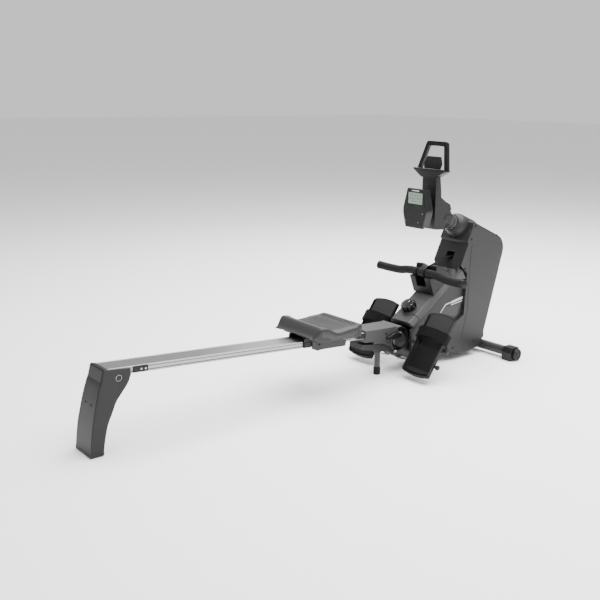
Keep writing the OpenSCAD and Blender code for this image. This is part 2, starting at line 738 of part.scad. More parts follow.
// Half of the bent bar, from the middle out to the end; each run overlaps the next at the bends
module bent_bar(d) for (i = [0:2]) {
  lap = unit(bar_points[i + 1] - bar_points[i]) * d / 14;
  rod(bar_points[i] - (i > 0 ? lap : [0, 0, 0]), bar_points[i + 1] + (i < 2 ? lap : [0, 0, 0]), d);
}

// Foam grips over both halves of the bar
module grips() color("#242527") placed() pair() difference() {
  foam_sleeve(grip_diameter);
  foam_sleeve(bar_diameter + 0.4);
  block([1500, -1, 300], [1700, clip_half_width + 0.2, 500]);
}

// Half of a sleeve along the bar, one straight run after another
module foam_sleeve(d) for (i = [0:2]) hull() for (p = [bar_points[i], bar_points[i + 1]])
  translate(p) rotate([90, 0, 0]) cylinder(d = d, h = 1, center = true, $fn = 32);

// Flat woven strap from the handle clip through the slot to the reel
module pull_strap() color("#1c1d1f") placed() {
  strap_run(strap_start, strap_bend);
  strap_run(strap_bend, strap_end);
}

module strap_run(a, b) plate([[a[0], a[2]], [b[0], b[2]], [b[0], b[2] + strap_thickness],
  [a[0], a[2] + strap_thickness]], -strap_width / 2, strap_width / 2);

// Foot plate with rounded ends, raised side lips and the pivot boss behind it
module pedal() on_pedal() {
  half = pedal_width / 2;
  bulge = 10;
  outline = [for (i = [-6:6]) [bulge * (1 - pow(i / 6, 2)) * -1, i / 6 * half],
    for (i = [6:-1:-6]) [pedal_length + bulge * (1 - pow(i / 6, 2)) - bulge, i / 6 * half]];
  difference() {
    union() {
      translate([0, pedal_middle, -pedal_thickness]) linear_extrude(pedal_thickness) polygon(outline);
      for (side = [-1, 1]) translate([0, pedal_middle + side * (half - 3), 0])
        block([4, -3, -1], [pedal_length - 14, 3, 9]);
      bar(26, pivot_along, -pivot_below, pedal_middle - half + 14, pedal_middle + half - 4);
      block([pivot_along - 13, pedal_middle - half + 14, -pivot_below], [pivot_along + 13,
        pedal_middle + half - 4, -pedal_thickness + 1]);
    }
    bar(foot_axle_diameter + running_gap, pivot_along, -pivot_below, 0, 300);
  }
}

module pedal_left() color(plastic_black) pedal();
module pedal_right() color(plastic_black) mirror([0, 1, 0]) pedal();

// Wide foot strap: a loop under the plate and over the instep
module foot_strap() on_pedal() translate([0, pedal_middle, 0]) difference() {
  half = pedal_width / 2;
  slice([[-half - 6, -pedal_thickness - 3], each foot_arch(half + 6, 48), [half + 6, -pedal_thickness - 3]],
    strap_along, strap_along + 48);
  slice([[-half - 3, -pedal_thickness], each foot_arch(half + 3, 45), [half + 3, -pedal_thickness]],
    strap_along - 1, strap_along + 49);
}

// Upper half of the strap's loop, from one side of the foot to the other
function foot_arch(reach, rise) = [for (a = [0:15:180]) [-reach * cos(a), rise * sin(a)]];

module foot_strap_left() color("#1c1d1f") foot_strap();
module foot_strap_right() color("#1c1d1f") mirror([0, 1, 0]) foot_strap();

main_frame();
hinge_pin();
mid_leg();
mid_leg_foot();
stabilizer_tube();
stabilizer_cap_left();
stabilizer_cap_right();
transport_wheel_left();
transport_wheel_right();
foot_bars();
crossbar_caps();
housing_left();
housing_right();
front_panel();
boom_cover();
housing_screws();
neck_shroud();
neck_collar();
mast();
tablet_holder();
tablet_pad();
console_front();
console_back();
console_window();
button_top();
button_middle();
button_side();
handle_cradle();
tension_knob();
tension_cable();
magnet_bracket();
flywheel();
drive_pulley();
strap_reel();
strap_roller();
inner_axles();
drive_belt();
recoil_spring();
rail();
hinge_bracket();
hinge_cover();
lock_knob();
rear_leg();
rear_foot();
rail_stops();
seat_pad();
seat_carriage();
seat_skirts();
roller_axles();
rollers_top_front();
rollers_top_rear();
rollers_low_front();
rollers_low_rear();
handle_bar();
grips();
pull_strap();
pedal_left();
pedal_right();
foot_strap_left();
foot_strap_right();
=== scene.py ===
import math

import bmesh
import bpy
from mathutils import Matrix, Vector


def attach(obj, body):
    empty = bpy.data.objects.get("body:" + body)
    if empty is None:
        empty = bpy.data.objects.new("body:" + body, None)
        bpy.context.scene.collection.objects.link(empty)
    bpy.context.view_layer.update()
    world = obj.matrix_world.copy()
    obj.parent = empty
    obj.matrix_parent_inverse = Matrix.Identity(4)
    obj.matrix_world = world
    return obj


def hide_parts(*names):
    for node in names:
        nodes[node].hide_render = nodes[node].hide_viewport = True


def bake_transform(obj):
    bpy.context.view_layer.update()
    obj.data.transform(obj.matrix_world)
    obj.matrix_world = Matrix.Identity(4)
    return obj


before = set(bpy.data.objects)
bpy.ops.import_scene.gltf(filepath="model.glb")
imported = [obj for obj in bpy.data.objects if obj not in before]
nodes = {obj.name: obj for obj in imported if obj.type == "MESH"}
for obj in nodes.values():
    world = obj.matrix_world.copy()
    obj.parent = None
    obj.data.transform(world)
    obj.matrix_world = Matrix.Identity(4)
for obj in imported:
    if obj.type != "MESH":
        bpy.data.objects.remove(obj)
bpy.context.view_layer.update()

# The camera stands at the rower's right, behind the rear foot, at about chest height, and looks
# along the machine towards the flywheel housing.
camera_data = bpy.data.cameras.new("camera")
camera_data.sensor_width = 36
camera_data.lens = 50.89
camera_data.shift_x = 0.0066
camera_data.shift_y = -0.0872
camera = bpy.data.objects.new("camera", camera_data)
bpy.context.scene.collection.objects.link(camera)
bpy.context.scene.camera = camera
yaw, pitch, roll = math.radians(39.205), math.radians(10.480), math.radians(0.823)
ahead = Vector((math.sin(yaw) * math.cos(pitch), math.cos(yaw) * math.cos(pitch), -math.sin(pitch)))
level = Vector((math.cos(yaw), -math.sin(yaw), 0))
above = level.cross(ahead)
across = level * math.cos(roll) + above * math.sin(roll)
upright = above * math.cos(roll) - level * math.sin(roll)
camera.matrix_world = Matrix.Translation((-2.1612, -2.4769, 1.1904)) @ Matrix(
    (across, upright, -ahead)).transposed().to_4x4()

# Studio: one broad soft box overhead, a smaller one at the rower's right and a weak one behind the
# housing. The surround is evenly pale, and dimmer in what the machine's surfaces mirror.
world = bpy.data.worlds.new("studio")
bpy.context.scene.world = world
world.use_nodes = True
surround = world.node_tree.nodes["Background"]
surround.inputs["Color"].default_value = (1.0, 1.0, 1.0, 1.0)
seen = world.node_tree.nodes.new("ShaderNodeLightPath")
glow = world.node_tree.nodes.new("ShaderNodeMapRange")
glow.inputs["To Min"].default_value = 0.85
glow.inputs["To Max"].default_value = 0.4
world.node_tree.links.new(seen.outputs["Is Glossy Ray"], glow.inputs["Value"])
world.node_tree.links.new(glow.outputs["Result"], surround.inputs["Strength"])


def soft_box(name, place, target, size, power):
    """A square area light at place, facing target."""
    lamp = bpy.data.lights.new(name, "AREA")
    lamp.size = size
    lamp.energy = power
    lit = bpy.data.objects.new(name, lamp)
    bpy.context.scene.collection.objects.link(lit)
    lit.location = place
    lit.rotation_euler = (Vector(target) - Vector(place)).to_track_quat("-Z", "Y").to_euler()


soft_box("overhead_light", (1.3, -0.5, 3.4), (1.3, -0.5, 0), 5.0, 660)
soft_box("side_light", (0.4, -3.4, 1.7), (0.2, 0, 0.4), 2.2, 14)
soft_box("back_light", (2.4, 2.4, 2.0), (0.6, 0, 0.4), 1.6, 24)

# Moulded and painted surfaces share one effect: a fine grain that catches the light, and broad soft
# patches where the tone and the shine drift a little.
MM = 0.001


def shade(level):
    """A neutral colour from a grey level between 0 and 255."""
    return [(level / 255) ** 2.2] * 3 + [1.0]


def new_group(name, inputs, outputs):
    """An empty shader node group with float sockets, and its two end nodes."""
    group = bpy.data.node_groups.new(name, "ShaderNodeTree")
    for label, value in inputs.items():
        socket = group.interface.new_socket(label, in_out="INPUT", socket_type="NodeSocketFloat")
        socket.default_value = value
    for label in outputs:
        group.interface.new_socket(label, in_out="OUTPUT", socket_type="NodeSocketFloat")
    return group, group.nodes.new("NodeGroupInput"), group.nodes.new("NodeGroupOutput")


def wire(tree, source, target):
    tree.links.new(source, target)


grain_group, given, result = new_group(
    "moulded grain", {"Grain scale": 900.0, "Patch scale": 7.0}, ["Tone", "Height"])
coords = grain_group.nodes.new("ShaderNodeTexCoord")
fine = grain_group.nodes.new("ShaderNodeTexNoise")
fine.inputs["Detail"].default_value = 3.0
broad = grain_group.nodes.new("ShaderNodeTexNoise")
broad.inputs["Detail"].default_value = 5.0
blend_tone = grain_group.nodes.new("ShaderNodeMix")
blend_tone.inputs["Factor"].default_value = 0.3
wire(grain_group, coords.outputs["Object"], fine.inputs["Vector"])
wire(grain_group, coords.outputs["Object"], broad.inputs["Vector"])
wire(grain_group, given.outputs["Grain scale"], fine.inputs["Scale"])
wire(grain_group, given.outputs["Patch scale"], broad.inputs["Scale"])
wire(grain_group, broad.outputs["Fac"], blend_tone.inputs["A"])
wire(grain_group, fine.outputs["Fac"], blend_tone.inputs["B"])
wire(grain_group, blend_tone.outputs["Result"], result.inputs["Tone"])
wire(grain_group, fine.outputs["Fac"], result.inputs["Height"])


def surface(name, colour, rough, group, sizes, drift=0.12, relief=0.00012, metallic=0.0,
            specular=0.3, rough_drift=0.08):
    """A material whose colour, shine and relief follow the Tone and Height of a shared group."""
    material = bpy.data.materials.new(name)
    material.use_nodes = True
    tree = material.node_tree
    shader = tree.nodes["Principled BSDF"]
    shader.inputs["Metallic"].default_value = metallic
    shader.inputs["Specular IOR Level"].default_value = specular
    effect = tree.nodes.new("ShaderNodeGroup")
    effect.node_tree = group
    for label, value in sizes.items():
        effect.inputs[label].default_value = value
    tint = tree.nodes.new("ShaderNodeMix")
    tint.data_type = "RGBA"
    tint.inputs["A"].default_value = [c * (1 - drift) for c in colour[:3]] + [1.0]
    tint.inputs["B"].default_value = [min(1.0, c * (1 + drift)) for c in colour[:3]] + [1.0]
    wire(tree, effect.outputs["Tone"], tint.inputs["Factor"])
    wire(tree, tint.outputs["Result"], shader.inputs["Base Color"])
    shine = tree.nodes.new("ShaderNodeMapRange")
    shine.inputs["To Min"].default_value = rough - rough_drift
    shine.inputs["To Max"].default_value = rough + rough_drift
    wire(tree, effect.outputs["Tone"], shine.inputs["Value"])
    wire(tree, shine.outputs["Result"], shader.inputs["Roughness"])
    bump = tree.nodes.new("ShaderNodeBump")
    bump.inputs["Distance"].default_value = relief
    wire(tree, effect.outputs["Height"], bump.inputs["Height"])
    wire(tree, bump.outputs["Normal"], shader.inputs["Normal"])
    return material


def moulded(name, level, rough=0.5, grain=900.0, drift=0.10, relief=0.00012, **more):
    """A grained plastic or a powder paint of that grey level."""
    return surface(name, shade(level), rough, grain_group, {"Grain scale": grain}, drift, relief, **more)


floor_paint = moulded("studio floor", 250, 0.75, 60.0, 0.01, 0.0002)
bpy.ops.mesh.primitive_plane_add(size=60, location=(0, 0, 0))
floor = bpy.context.object
floor.name = "studio_floor"
floor.data.materials.append(floor_paint)

# Steel frame: a welded beam with lugs for the rail's hinge, powder painted dark grey. Only its rear
# stub, the lugs and the saddle of the stabilizer show. The tube leg under the hinge ends in a ferrule.
frame_paint = moulded("frame paint", 47, 0.45, 700.0)
leg_paint = moulded("leg paint", 62, 0.4, 700.0)
rubber = moulded("black rubber", 26, 0.8, 1400.0, relief=0.0002)
bright_steel = moulded("bright steel", 190, 0.3, 400.0, metallic=1.0)


def axes(x, z, turn=0.0):
    """Millimetre axes: x from the back of the rear foot, z above the floor, turned about +Y."""
    return (Matrix.Translation(((x - 1036) * MM, 0, z * MM))
            @ Matrix.Rotation(math.radians(turn), 4, "Y") @ Matrix.Scale(MM, 4))


machine = axes(0, 0)
MIRROR = Matrix.Scale(-1, 4, (0, 1, 0))


def dress(name, material, edge=0.0):
    """A CAD piece keeps its shape and gets a material; edge rounds its sharp edges, in millimetres."""
    piece = nodes[name]
    piece.data.materials.clear()
    piece.data.materials.append(material)
    if edge:
        weld = piece.modifiers.new("weld", "WELD")
        weld.merge_threshold = 0.00002
        bevel = piece.modifiers.new("edges", "BEVEL")
        bevel.width = edge * MM
        bevel.segments = 2
        bevel.limit_method = "ANGLE"
        bevel.angle_limit = math.radians(35)
        weighted = piece.modifiers.new("normals", "WEIGHTED_NORMAL")
        weighted.keep_sharp = True


def build(name, shape, place, body, material, stands_for=(), rounding=0):
    """Turns a millimetre bmesh into a finished piece that rides on a body."""
    bmesh.ops.transform(shape, matrix=place, verts=shape.verts)
    if place.determinant() < 0:
        bmesh.ops.reverse_faces(shape, faces=shape.faces)
    for face in shape.faces:
        face.smooth = True
    for edge in shape.edges:
        edge.smooth = len(edge.link_faces) == 2 and edge.calc_face_angle(0) < math.radians(42)
    mesh = bpy.data.meshes.new(name)
    shape.to_mesh(mesh)
    shape.free()
    piece = bpy.data.objects.new(name, mesh)
    bpy.context.scene.collection.objects.link(piece)
    mesh.materials.append(material)
    if rounding:
        smooth = piece.modifiers.new("rounding", "SUBSURF")
        smooth.levels = smooth.render_levels = rounding
    else:
        weighted = piece.modifiers.new("normals", "WEIGHTED_NORMAL")
        weighted.keep_sharp = True
    if body:
        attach(piece, body)
    if stands_for:
        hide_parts(*stands_for)
    return piece


def turned(profile, steps=48):
    """A closed turned shape about +z, from (radius, z) points that start and end on the axis."""
    shape = bmesh.new()
    line = [shape.verts.new((r, 0, z)) for r, z in profile]
    edges = [shape.edges.new(pair) for pair in zip(line, line[1:])]
    bmesh.ops.spin(shape, geom=line + edges, cent=(0, 0, 0), axis=(0, 0, 1), angle=2 * math.pi,
                   steps=steps, use_merge=True)
    bmesh.ops.remove_doubles(shape, verts=shape.verts, dist=0.001)
    bmesh.ops.recalc_face_normals(shape, faces=shape.faces)
    return shape


dress("main_frame", frame_paint, 1.0)
for name in ("hinge_pin", "foot_bars", "hinge_bracket"):
    dress(name, bright_steel, 0.6)
build("leg_tube", turned([(0, 30), (12.5, 30), (12.5, 120), (0, 120)]), axes(1352, 0), "frame",
      leg_paint, ["mid_leg"])
build("leg_ferrule", turned([(0, 0), (14, 0), (15.5, 2), (15.5, 6), (14.6, 7), (14.6, 9), (15.5, 10),
                             (15, 31), (13.6, 33.5), (12.6, 34), (0, 34)]),
      axes(1352, 0), "frame", rubber, ["mid_leg_foot"])

# Front stabilizer: a painted cross tube in two faceted plastic caps, each with a transport wheel on a
# moulded stub at its outer end.
cap_black = moulded("cap plastic", 20, 0.5, 800.0)
wheel_black = moulded("wheel plastic", 22, 0.6, 1100.0)
SIDES = (("left", 1), ("right", -1))


def on_side(place, sign):
    """Axes as they are for the left side, or mirrored for the right."""
    return place if sign > 0 else place @ MIRROR


def pulled(corners, move):
    """A closed prism: a face through corners, pulled along move."""
    shape = bmesh.new()
    face = shape.faces.new([shape.verts.new(corner) for corner in corners])
    grown = bmesh.ops.extrude_face_region(shape, geom=[face])
    far = [v for v in grown["geom"] if isinstance(v, bmesh.types.BMVert)]
    bmesh.ops.translate(shape, verts=far, vec=move)
    bmesh.ops.recalc_face_normals(shape, faces=shape.faces)
    return shape


def slab(outline, y0, y1):
    """A closed slab: an outline of (x, z) points between two values of y."""
    return pulled([(x, y0, z) for x, z in outline], (0, y1 - y0, 0))


def soften(shape, width, segments=3, angle=30, where=None):
    """Rounds the edges sharper than angle, or those of them that where picks."""
    edges = [e for e in shape.edges if len(e.link_faces) == 2
             and e.calc_face_angle(0) > math.radians(angle) and (where is None or where(e))]
    bmesh.ops.bevel(shape, geom=edges, offset=width, offset_type="OFFSET", segments=segments,
                    profile=0.5, affect="EDGES", clamp_overlap=True, material=-1)
    return shape


dress("stabilizer_tube", frame_paint)
for side, sign in SIDES:
    flip = on_side(machine, sign)
    cap = soften(slab([(1953, 0), (2018, 0), (2020, 38), (2007, 61), (1965, 61), (1951, 40)],
                      194.5, 246.5), 3.0)
    build(f"stabilizer_shoe_{side}", cap, flip, "frame", cap_black,
          [f"stabilizer_cap_{side}"])
    stub = turned([(0, 0), (5, 0), (5, 13), (0, 13)], 24)
    build(f"wheel_stub_{side}", stub, axes(1987, 30) @ Matrix.Rotation(-sign * math.pi / 2, 4, "X")
          @ Matrix.Translation((0, 0, 246)), "frame", cap_black)
    wheel = turned([(0, 0), (23, 0), (26, 1.5), (27, 3), (27, 9), (26, 10.5), (22, 11.5), (19, 11.5),
                    (17, 9), (9, 9), (8, 11.5), (5.2, 11.5), (0, 11.5)])
    build(f"transport_roller_{side}", wheel, axes(1987, 30)
          @ Matrix.Rotation(-sign * math.pi / 2, 4, "X") @ Matrix.Translation((0, 0, 248.2)),
          f"rolling_{side}", wheel_black, [f"transport_wheel_{side}"])

# Flywheel housing: two mirrored half shells of grained dark grey plastic, with a broad chamfer round
# their outer rim, a seam between them and a shallow raised field on each side.
shell_plastic = moulded("shell plastic", 38, 0.48, 800.0, 0.07)
# Near-black for real seams, printed dots and screws, and also as painted shade in screw holes, across the
# drum's mouths and behind the strap slot.
seam_and_shade_black = moulded("seam and painted shade black", 8, 0.7, 800.0)


def arc_corner(before, corner, after, radius):
    """Points of the arc that rounds a corner of an outline."""
    p, q = (before - corner).normalized(), (after - corner).normalized()
    half = p.angle(q) / 2
    centre = corner + (p + q).normalized() * radius / math.sin(half)
    start, stop = corner + p * radius / math.tan(half) - centre, corner + q * radius / math.tan(half) - centre
    turn = math.atan2(start.x * stop.y - start.y * stop.x, start.dot(stop))
    steps = max(2, math.ceil(abs(turn) / math.radians(9)))
    return [centre + Matrix.Rotation(turn * i / steps, 2) @ start for i in range(steps + 1)]


def rounded(corners):
    """An outline with its corners rounded, from (x, z, radius) points."""
    points = [Vector(c[:2]) for c in corners]
    return [tuple(p) for i, c in enumerate(corners)
            for p in arc_corner(points[i - 1], points[i], points[(i + 1) % len(points)], c[2])]


def carve(shape, *tools):
    """Cuts closed tool shapes out of a closed shape."""
    objects = []
    for mesh_source in (shape,) + tools:
        mesh = bpy.data.meshes.new("carving")
        mesh_source.to_mesh(mesh)
        mesh_source.free()
        objects.append(bpy.data.objects.new("carving", mesh))
        bpy.context.scene.collection.objects.link(objects[-1])
    for tool in objects[1:]:
        cut = objects[0].modifiers.new("cut", "BOOLEAN")
        cut.operation, cut.solver, cut.object = "DIFFERENCE", "EXACT", tool
    bpy.context.view_layer.update()
    finished = bmesh.new()
    finished.from_mesh(objects[0].evaluated_get(bpy.context.evaluated_depsgraph_get()).to_mesh())
    for used in objects:
        mesh = used.data
        bpy.data.objects.remove(used)
        bpy.data.meshes.remove(mesh)
    return finished


def box(low, high):
    """A closed box between two corners."""
    shape = bmesh.new()
    bmesh.ops.create_cube(shape, size=1)
    middle = [(a + b) / 2 for a, b in zip(low, high)]
    bmesh.ops.transform(shape, verts=shape.verts, matrix=Matrix.Translation(middle)
                        @ Matrix.Diagonal([b - a for a, b in zip(low, high)] + [1]))
    return shape


housing_outline = rounded([
    (1776, 436, 4), (1822, 531, 5), (1815, 542, 6), (1845, 596, 20), (1850, 628, 6),
    (2087, 524.4, 70), (1941, 38, 30), (1835, 29, 60), (1745, 36, 40), (1700, 80, 25),
    (1764, 182, 20), (1812, 206, 14), (1822, 396, 10)])
raised_field = rounded([
    (1842, 524, 18), (1902, 520, 60), (1952, 470, 30), (2040, 440, 30), (1925, 62, 24), (1848, 54, 40),
    (1800, 90, 30), (1834, 220, 20)])
for side, sign in SIDES:
    flip = on_side(machine, sign)
    half = soften(slab(housing_outline, 0.4, 80), 9, 3, 40, lambda e: min(v.co.y for v in e.verts) > 79
                  and not all(v.co.x < 1830 and 190 < v.co.z < 432 for v in e.verts))
    half = carve(half, box((1700, -1, 456), (1868, 27, 500)))
    build(f"housing_shell_{side}", half, flip, "frame", shell_plastic,
          [f"housing_{side}"])
    field = soften(slab(raised_field, 79, 81.2), 1.6, 2, 40, lambda e: min(v.co.y for v in e.verts) > 81)
    build(f"housing_field_{side}", field, flip, "frame", shell_plastic)
    # A black block deep behind the slot: painted shade of the housing's hollow inside.
    build(f"slot_shade_block_{side}", box((1836, 0, 454), (1866, 26.6, 502)), flip, "frame",
          seam_and_shade_black)
    # Each well is a dark disc: its black is painted shade of the screw hole.
    for i, (x, z) in enumerate([(1864, 608), (2017, 552), (1842, 549), (1806, 418), (1888, 70), (1748, 62)]):
        well = turned([(0, 0), (5.4, 0), (5.4, 1.0), (4.6, 1.4), (3.6, 0.2), (0, 0.2)], 20)
        build(f"housing_screw_{side}_{i}", well, axes(x, z) @ Matrix.Rotation(-sign * math.pi / 2, 4, "X")
              @ Matrix.Translation((0, 0, 80)), "frame", seam_and_shade_black)
dress("housing_screws", seam_and_shade_black)

# Front panel: a plate let into the face towards the rower, almost flush, with the slot where the strap
# leaves.
boom_plastic = moulded("boom plastic", 58, 0.45, 800.0, 0.07)
lean = math.degrees(math.atan2(1823 - 1768, 533 - 419))
panel = soften(slab([(-0.3, -11), (4, -11), (4, 122), (-0.3, 122)], -70.9, 70.9), 0.3, 1)
panel = carve(panel, box((-20, -21, 41), (20, 21, 76)))
build("slot_panel", panel, axes(1768, 419, lean), "frame", shell_plastic, ["front_panel"])

# Boom: a grained shell over the frame's beam, with a flat top, sloping shoulders and deep cheeks. A
# seam parts off its lower end, and a turned boss carries the resistance knob.
cheek_plastic = moulded("cheek plastic", 36, 0.5, 800.0, 0.07)
boom_axes = axes(1500, 226, -34.6)


def beam(outline, x0, x1):
    """A closed bar along x: an outline of (y, z) points between two values of x."""
    return pulled([(x0, y, z) for y, z in outline], (x1 - x0, 0, 0))


def lofted(rings):
    """A closed shape through rings of as many points each."""
    shape = bmesh.new()
    loops = [[shape.verts.new(point) for point in ring] for ring in rings]
    for near, far in zip(loops, loops[1:]):
        for k in range(len(near)):
            shape.faces.new((near[k - 1], near[k], far[k], far[k - 1]))
    shape.faces.new(loops[0])
    shape.faces.new(loops[-1])
    bmesh.ops.recalc_face_normals(shape, faces=shape.faces)
    return shape


boom_outline = [(-67, -27), (-67, -18), (-53, -2), (-49, 0), (49, 0), (53, -2), (67, -18), (67, -27)]
build("boom_top", soften(beam(boom_outline, 30, 344), 1.6, 2, 20), boom_axes, "frame",
      boom_plastic, ["boom_cover"])
build("boom_end", soften(beam(boom_outline, -19, 29), 2.5, 3, 20), boom_axes, "frame",
      boom_plastic)
wide_outline = [(-79, -60), (-79, -12), (-64, 6), (-59, 8.6), (59, 8.6), (64, 6), (79, -12), (79, -60)]
root = lofted([[(292, y, z) for y, z in boom_outline], [(345, y, z) for y, z in wide_outline]])
build("boom_root", soften(root, 1.6, 2, 20), boom_axes, "frame", boom_plastic)
boss = turned([(0, -4), (41, -4), (41, 1.4), (39, 3), (33, 3), (31.5, 7), (28, 8.4), (4.5, 8.4), (4.5, -4)])
build("knob_boss", boss, boom_axes @ Matrix.Translation((56, 0, 0)), "frame", boom_plastic)
cheek_outline = [(1486, 183), (1499, 193), (1830, 421.3), (1830, 210), (1750, 45), (1560, 52), (1492, 92)]
for side, sign in SIDES:
    flip = on_side(machine, sign)
    cheek = soften(slab(cheek_outline, 55, 66.6), 3, 3, 40, lambda e: min(v.co.y for v in e.verts) > 66)
    build(f"boom_cheek_{side}", cheek, flip, "frame", cheek_plastic)
build("boom_underside", slab([(1490, 92), (1560, 49), (1745, 42), (1745, 62), (1560, 66), (1500, 100)],
                             -60, 60), machine, "frame", cheek_plastic)

# Side trim of the boom: a printed field of fine slanting lines with three plain pale stripes above it.
trim_grey = surface("hatched trim", shade(66), 0.5, grain_group, {"Grain scale": 300.0}, 0.05)
hatch = trim_grey.node_tree
lines = hatch.nodes.new("ShaderNodeTexWave")
lines.bands_direction = "DIAGONAL"
lines.inputs["Scale"].default_value = 55.0
place = hatch.nodes.new("ShaderNodeTexCoord")
inked = hatch.nodes.new("ShaderNodeMix")
inked.data_type = "RGBA"
inked.inputs["B"].default_value = shade(36)
wire(hatch, place.outputs["Object"], lines.inputs["Vector"])
wire(hatch, lines.outputs["Fac"], inked.inputs["Factor"])
wire(hatch, next(n for n in hatch.nodes if n.type == "MIX" and n != inked).outputs["Result"],
     inked.inputs["A"])
wire(hatch, inked.outputs["Result"], hatch.nodes["Principled BSDF"].inputs["Base Color"])
pale_print = moulded("pale print", 190, 0.5, 900.0, 0.03)
stripe_outlines = ([(1668, 236), (1671, 234), (1702, 265), (1732, 271), (1732, 275), (1700, 269)],
                   [(1734, 267), (1814, 279), (1814, 289), (1740, 277)],
                   [(1738, 259), (1812, 268), (1812, 271), (1738, 262)])
for side, sign in SIDES:
    flip = on_side(machine, sign)
    field = slab([(1674, 230), (1703, 258), (1738, 254), (1812, 262), (1776, 201), (1702, 224)], 66.5, 67.3)
    build(f"trim_field_{side}", field, flip, "frame", trim_grey)
    for i, outline in enumerate(stripe_outlines):
        build(f"trim_stripe_{side}_{i}", slab(outline, 66.5, 67.6), flip, "frame",
              pale_print)
    # A dark disc for the screw hole: its black is painted shade of the hole.
    screw = turned([(0, 0), (5, 0), (5, 0.9), (4, 1.2), (3, 0.2), (0, 0.2)], 20)
    build(f"boom_screw_{side}", screw, axes(1538, 190) @ Matrix.Rotation(-sign * math.pi / 2, 4, "X")
          @ Matrix.Translation((0, 0, 66.6)), "frame", seam_and_shade_black)

# Resistance knob: a black turned cap with scalloped sides, and a shallow face that carries the numbers
# from 1 to 8 and a pointer.
knob_black = moulded("knob plastic", 12, 0.35, 900.0)
white_print = moulded("white print", 170, 0.5, 900.0, 0.03)
knob_axes = boom_axes @ Matrix.Translation((56, 0, 0))
knob = turned([(0, 9), (31, 9), (33, 11), (34, 15), (33, 30), (30.5, 35), (27, 36), (23, 35), (0, 34)], 72)
for v in knob.verts:
    reach = math.hypot(v.co.x, v.co.y)
    if reach > 29:
        dip = max(0.0, math.cos(10 * math.atan2(v.co.y, v.co.x))) ** 2 * 5
        v.co.x *= 1 - dip / reach
        v.co.y *= 1 - dip / reach
build("resistance_knob", knob, knob_axes, "knob", knob_black, ["tension_knob"])
pointer = box((9, -1.6, 33.8), (19, 1.6, 34.8))
build("knob_pointer", pointer, knob_axes, "knob", white_print)
for number in range(1, 9):
    text = bpy.data.curves.new("number", "FONT")
    text.body = str(number)
    text.size = 8
    text.align_x = text.align_y = "CENTER"
    text.extrude = 0.25
    lettering = bpy.data.objects.new("number", text)
    digits = bmesh.new()
    digits.from_mesh(lettering.to_mesh())
    bpy.data.objects.remove(lettering)
    turn = math.radians(210 - 38 * number)
    build(f"knob_number_{number}", digits, knob_axes @ Matrix.Rotation(turn, 4, "Z")
          @ Matrix.Translation((25, 0, 36)) @ Matrix.Rotation(-math.pi / 2, 4, "Z"), "knob",
          white_print)

# Handle cradle: two forked cheeks on a wedge-shaped base, which hold the handle in front of the slot.
cradle_black = moulded("cradle plastic", 13, 0.45, 900.0)
prong_outline = [(1628, 315.5), (1597, 393), (1602, 397.5), (1604.5, 396), (1609, 395), (1625, 395),
                 (1631, 398), (1639, 446), (1660, 444), (1700, 424), (1745, 396.5)]
for side, sign in SIDES:
    flip = on_side(machine, sign)
    prong = soften(slab(prong_outline, 27, 60), 2.2, 3)
    build(f"cradle_prong_{side}", prong, flip, "frame", cradle_black)
build("cradle_base", soften(slab([(1628, 315.5), (1614, 349), (1621, 352), (1636, 331), (1738, 404),
                                  (1745, 397)], -30, 30), 2, 2),
      machine, "frame", cradle_black, ["handle_cradle"])

# Neck: a domed shroud on the housing's shoulder, a paler ring above it, and the tube's faceted elbow at
# the foot of the mast.
neck_axes = axes(1772, 628, 22.7 - 90)
shroud = turned([(0, -150), (54, -150), (54, -62), (52.5, -50), (48, -38), (40, -30), (37, -28), (37, -20),
                 (0, -20)], 64)
build("neck_dome", shroud, neck_axes, "frame", shell_plastic, ["neck_shroud"])
ring = turned([(0, -21), (33, -21), (34, -19.5), (34, -9), (33, -7.6), (29, -7), (29, -2), (30, -1), (30, 13),
               (29, 14), (27, 14), (27, 28), (0, 28)], 64)
build("neck_ring", ring, neck_axes, "frame", boom_plastic, ["neck_collar"])
mast_black = moulded("mast plastic", 28, 0.42, 900.0)
elbow = [(46 * math.cos(a), 46 * math.sin(a)) for a in (math.radians(22.5 + 45 * i) for i in range(8))]
elbow_block = pulled([(x, y, 26) for x, y in elbow], (0, 0, 52))
build("mast_elbow", soften(elbow_block, 4, 3), neck_axes, "frame", mast_black)
mast_outline = [(1634, 834), (1662, 834), (1668, 790), (1673, 745), (1702, 725), (1733, 710), (1742, 690),
                (1699, 601), (1642, 605), (1634, 622)]
mast = soften(slab(mast_outline, -40, 40), 1.5, 2, 30)
mast = soften(mast, 6, 1, 80, lambda e: all(v.co.x < 1636 for v in e.verts)
              and abs(e.verts[0].co.z - e.verts[1].co.z) > 60)
build("mast_body", mast, machine, "frame", mast_black, ["mast"])

# Console: a two-part shell with a tapering face, a tinted window over a pale green display, a plain
# badge bar and round keys. The back shell hangs on the mast by a short arm.
console_black = moulded("console plastic", 24, 0.4, 1000.0)
console_outline = [(-44, 787), (44, 787), (66, 700), (66, 680), (50, 617), (-50, 617), (-66, 680), (-66, 700)]


def shrunk(outline, factor, middle=704):
    return [(y * factor, middle + (z - middle) * factor) for y, z in outline]


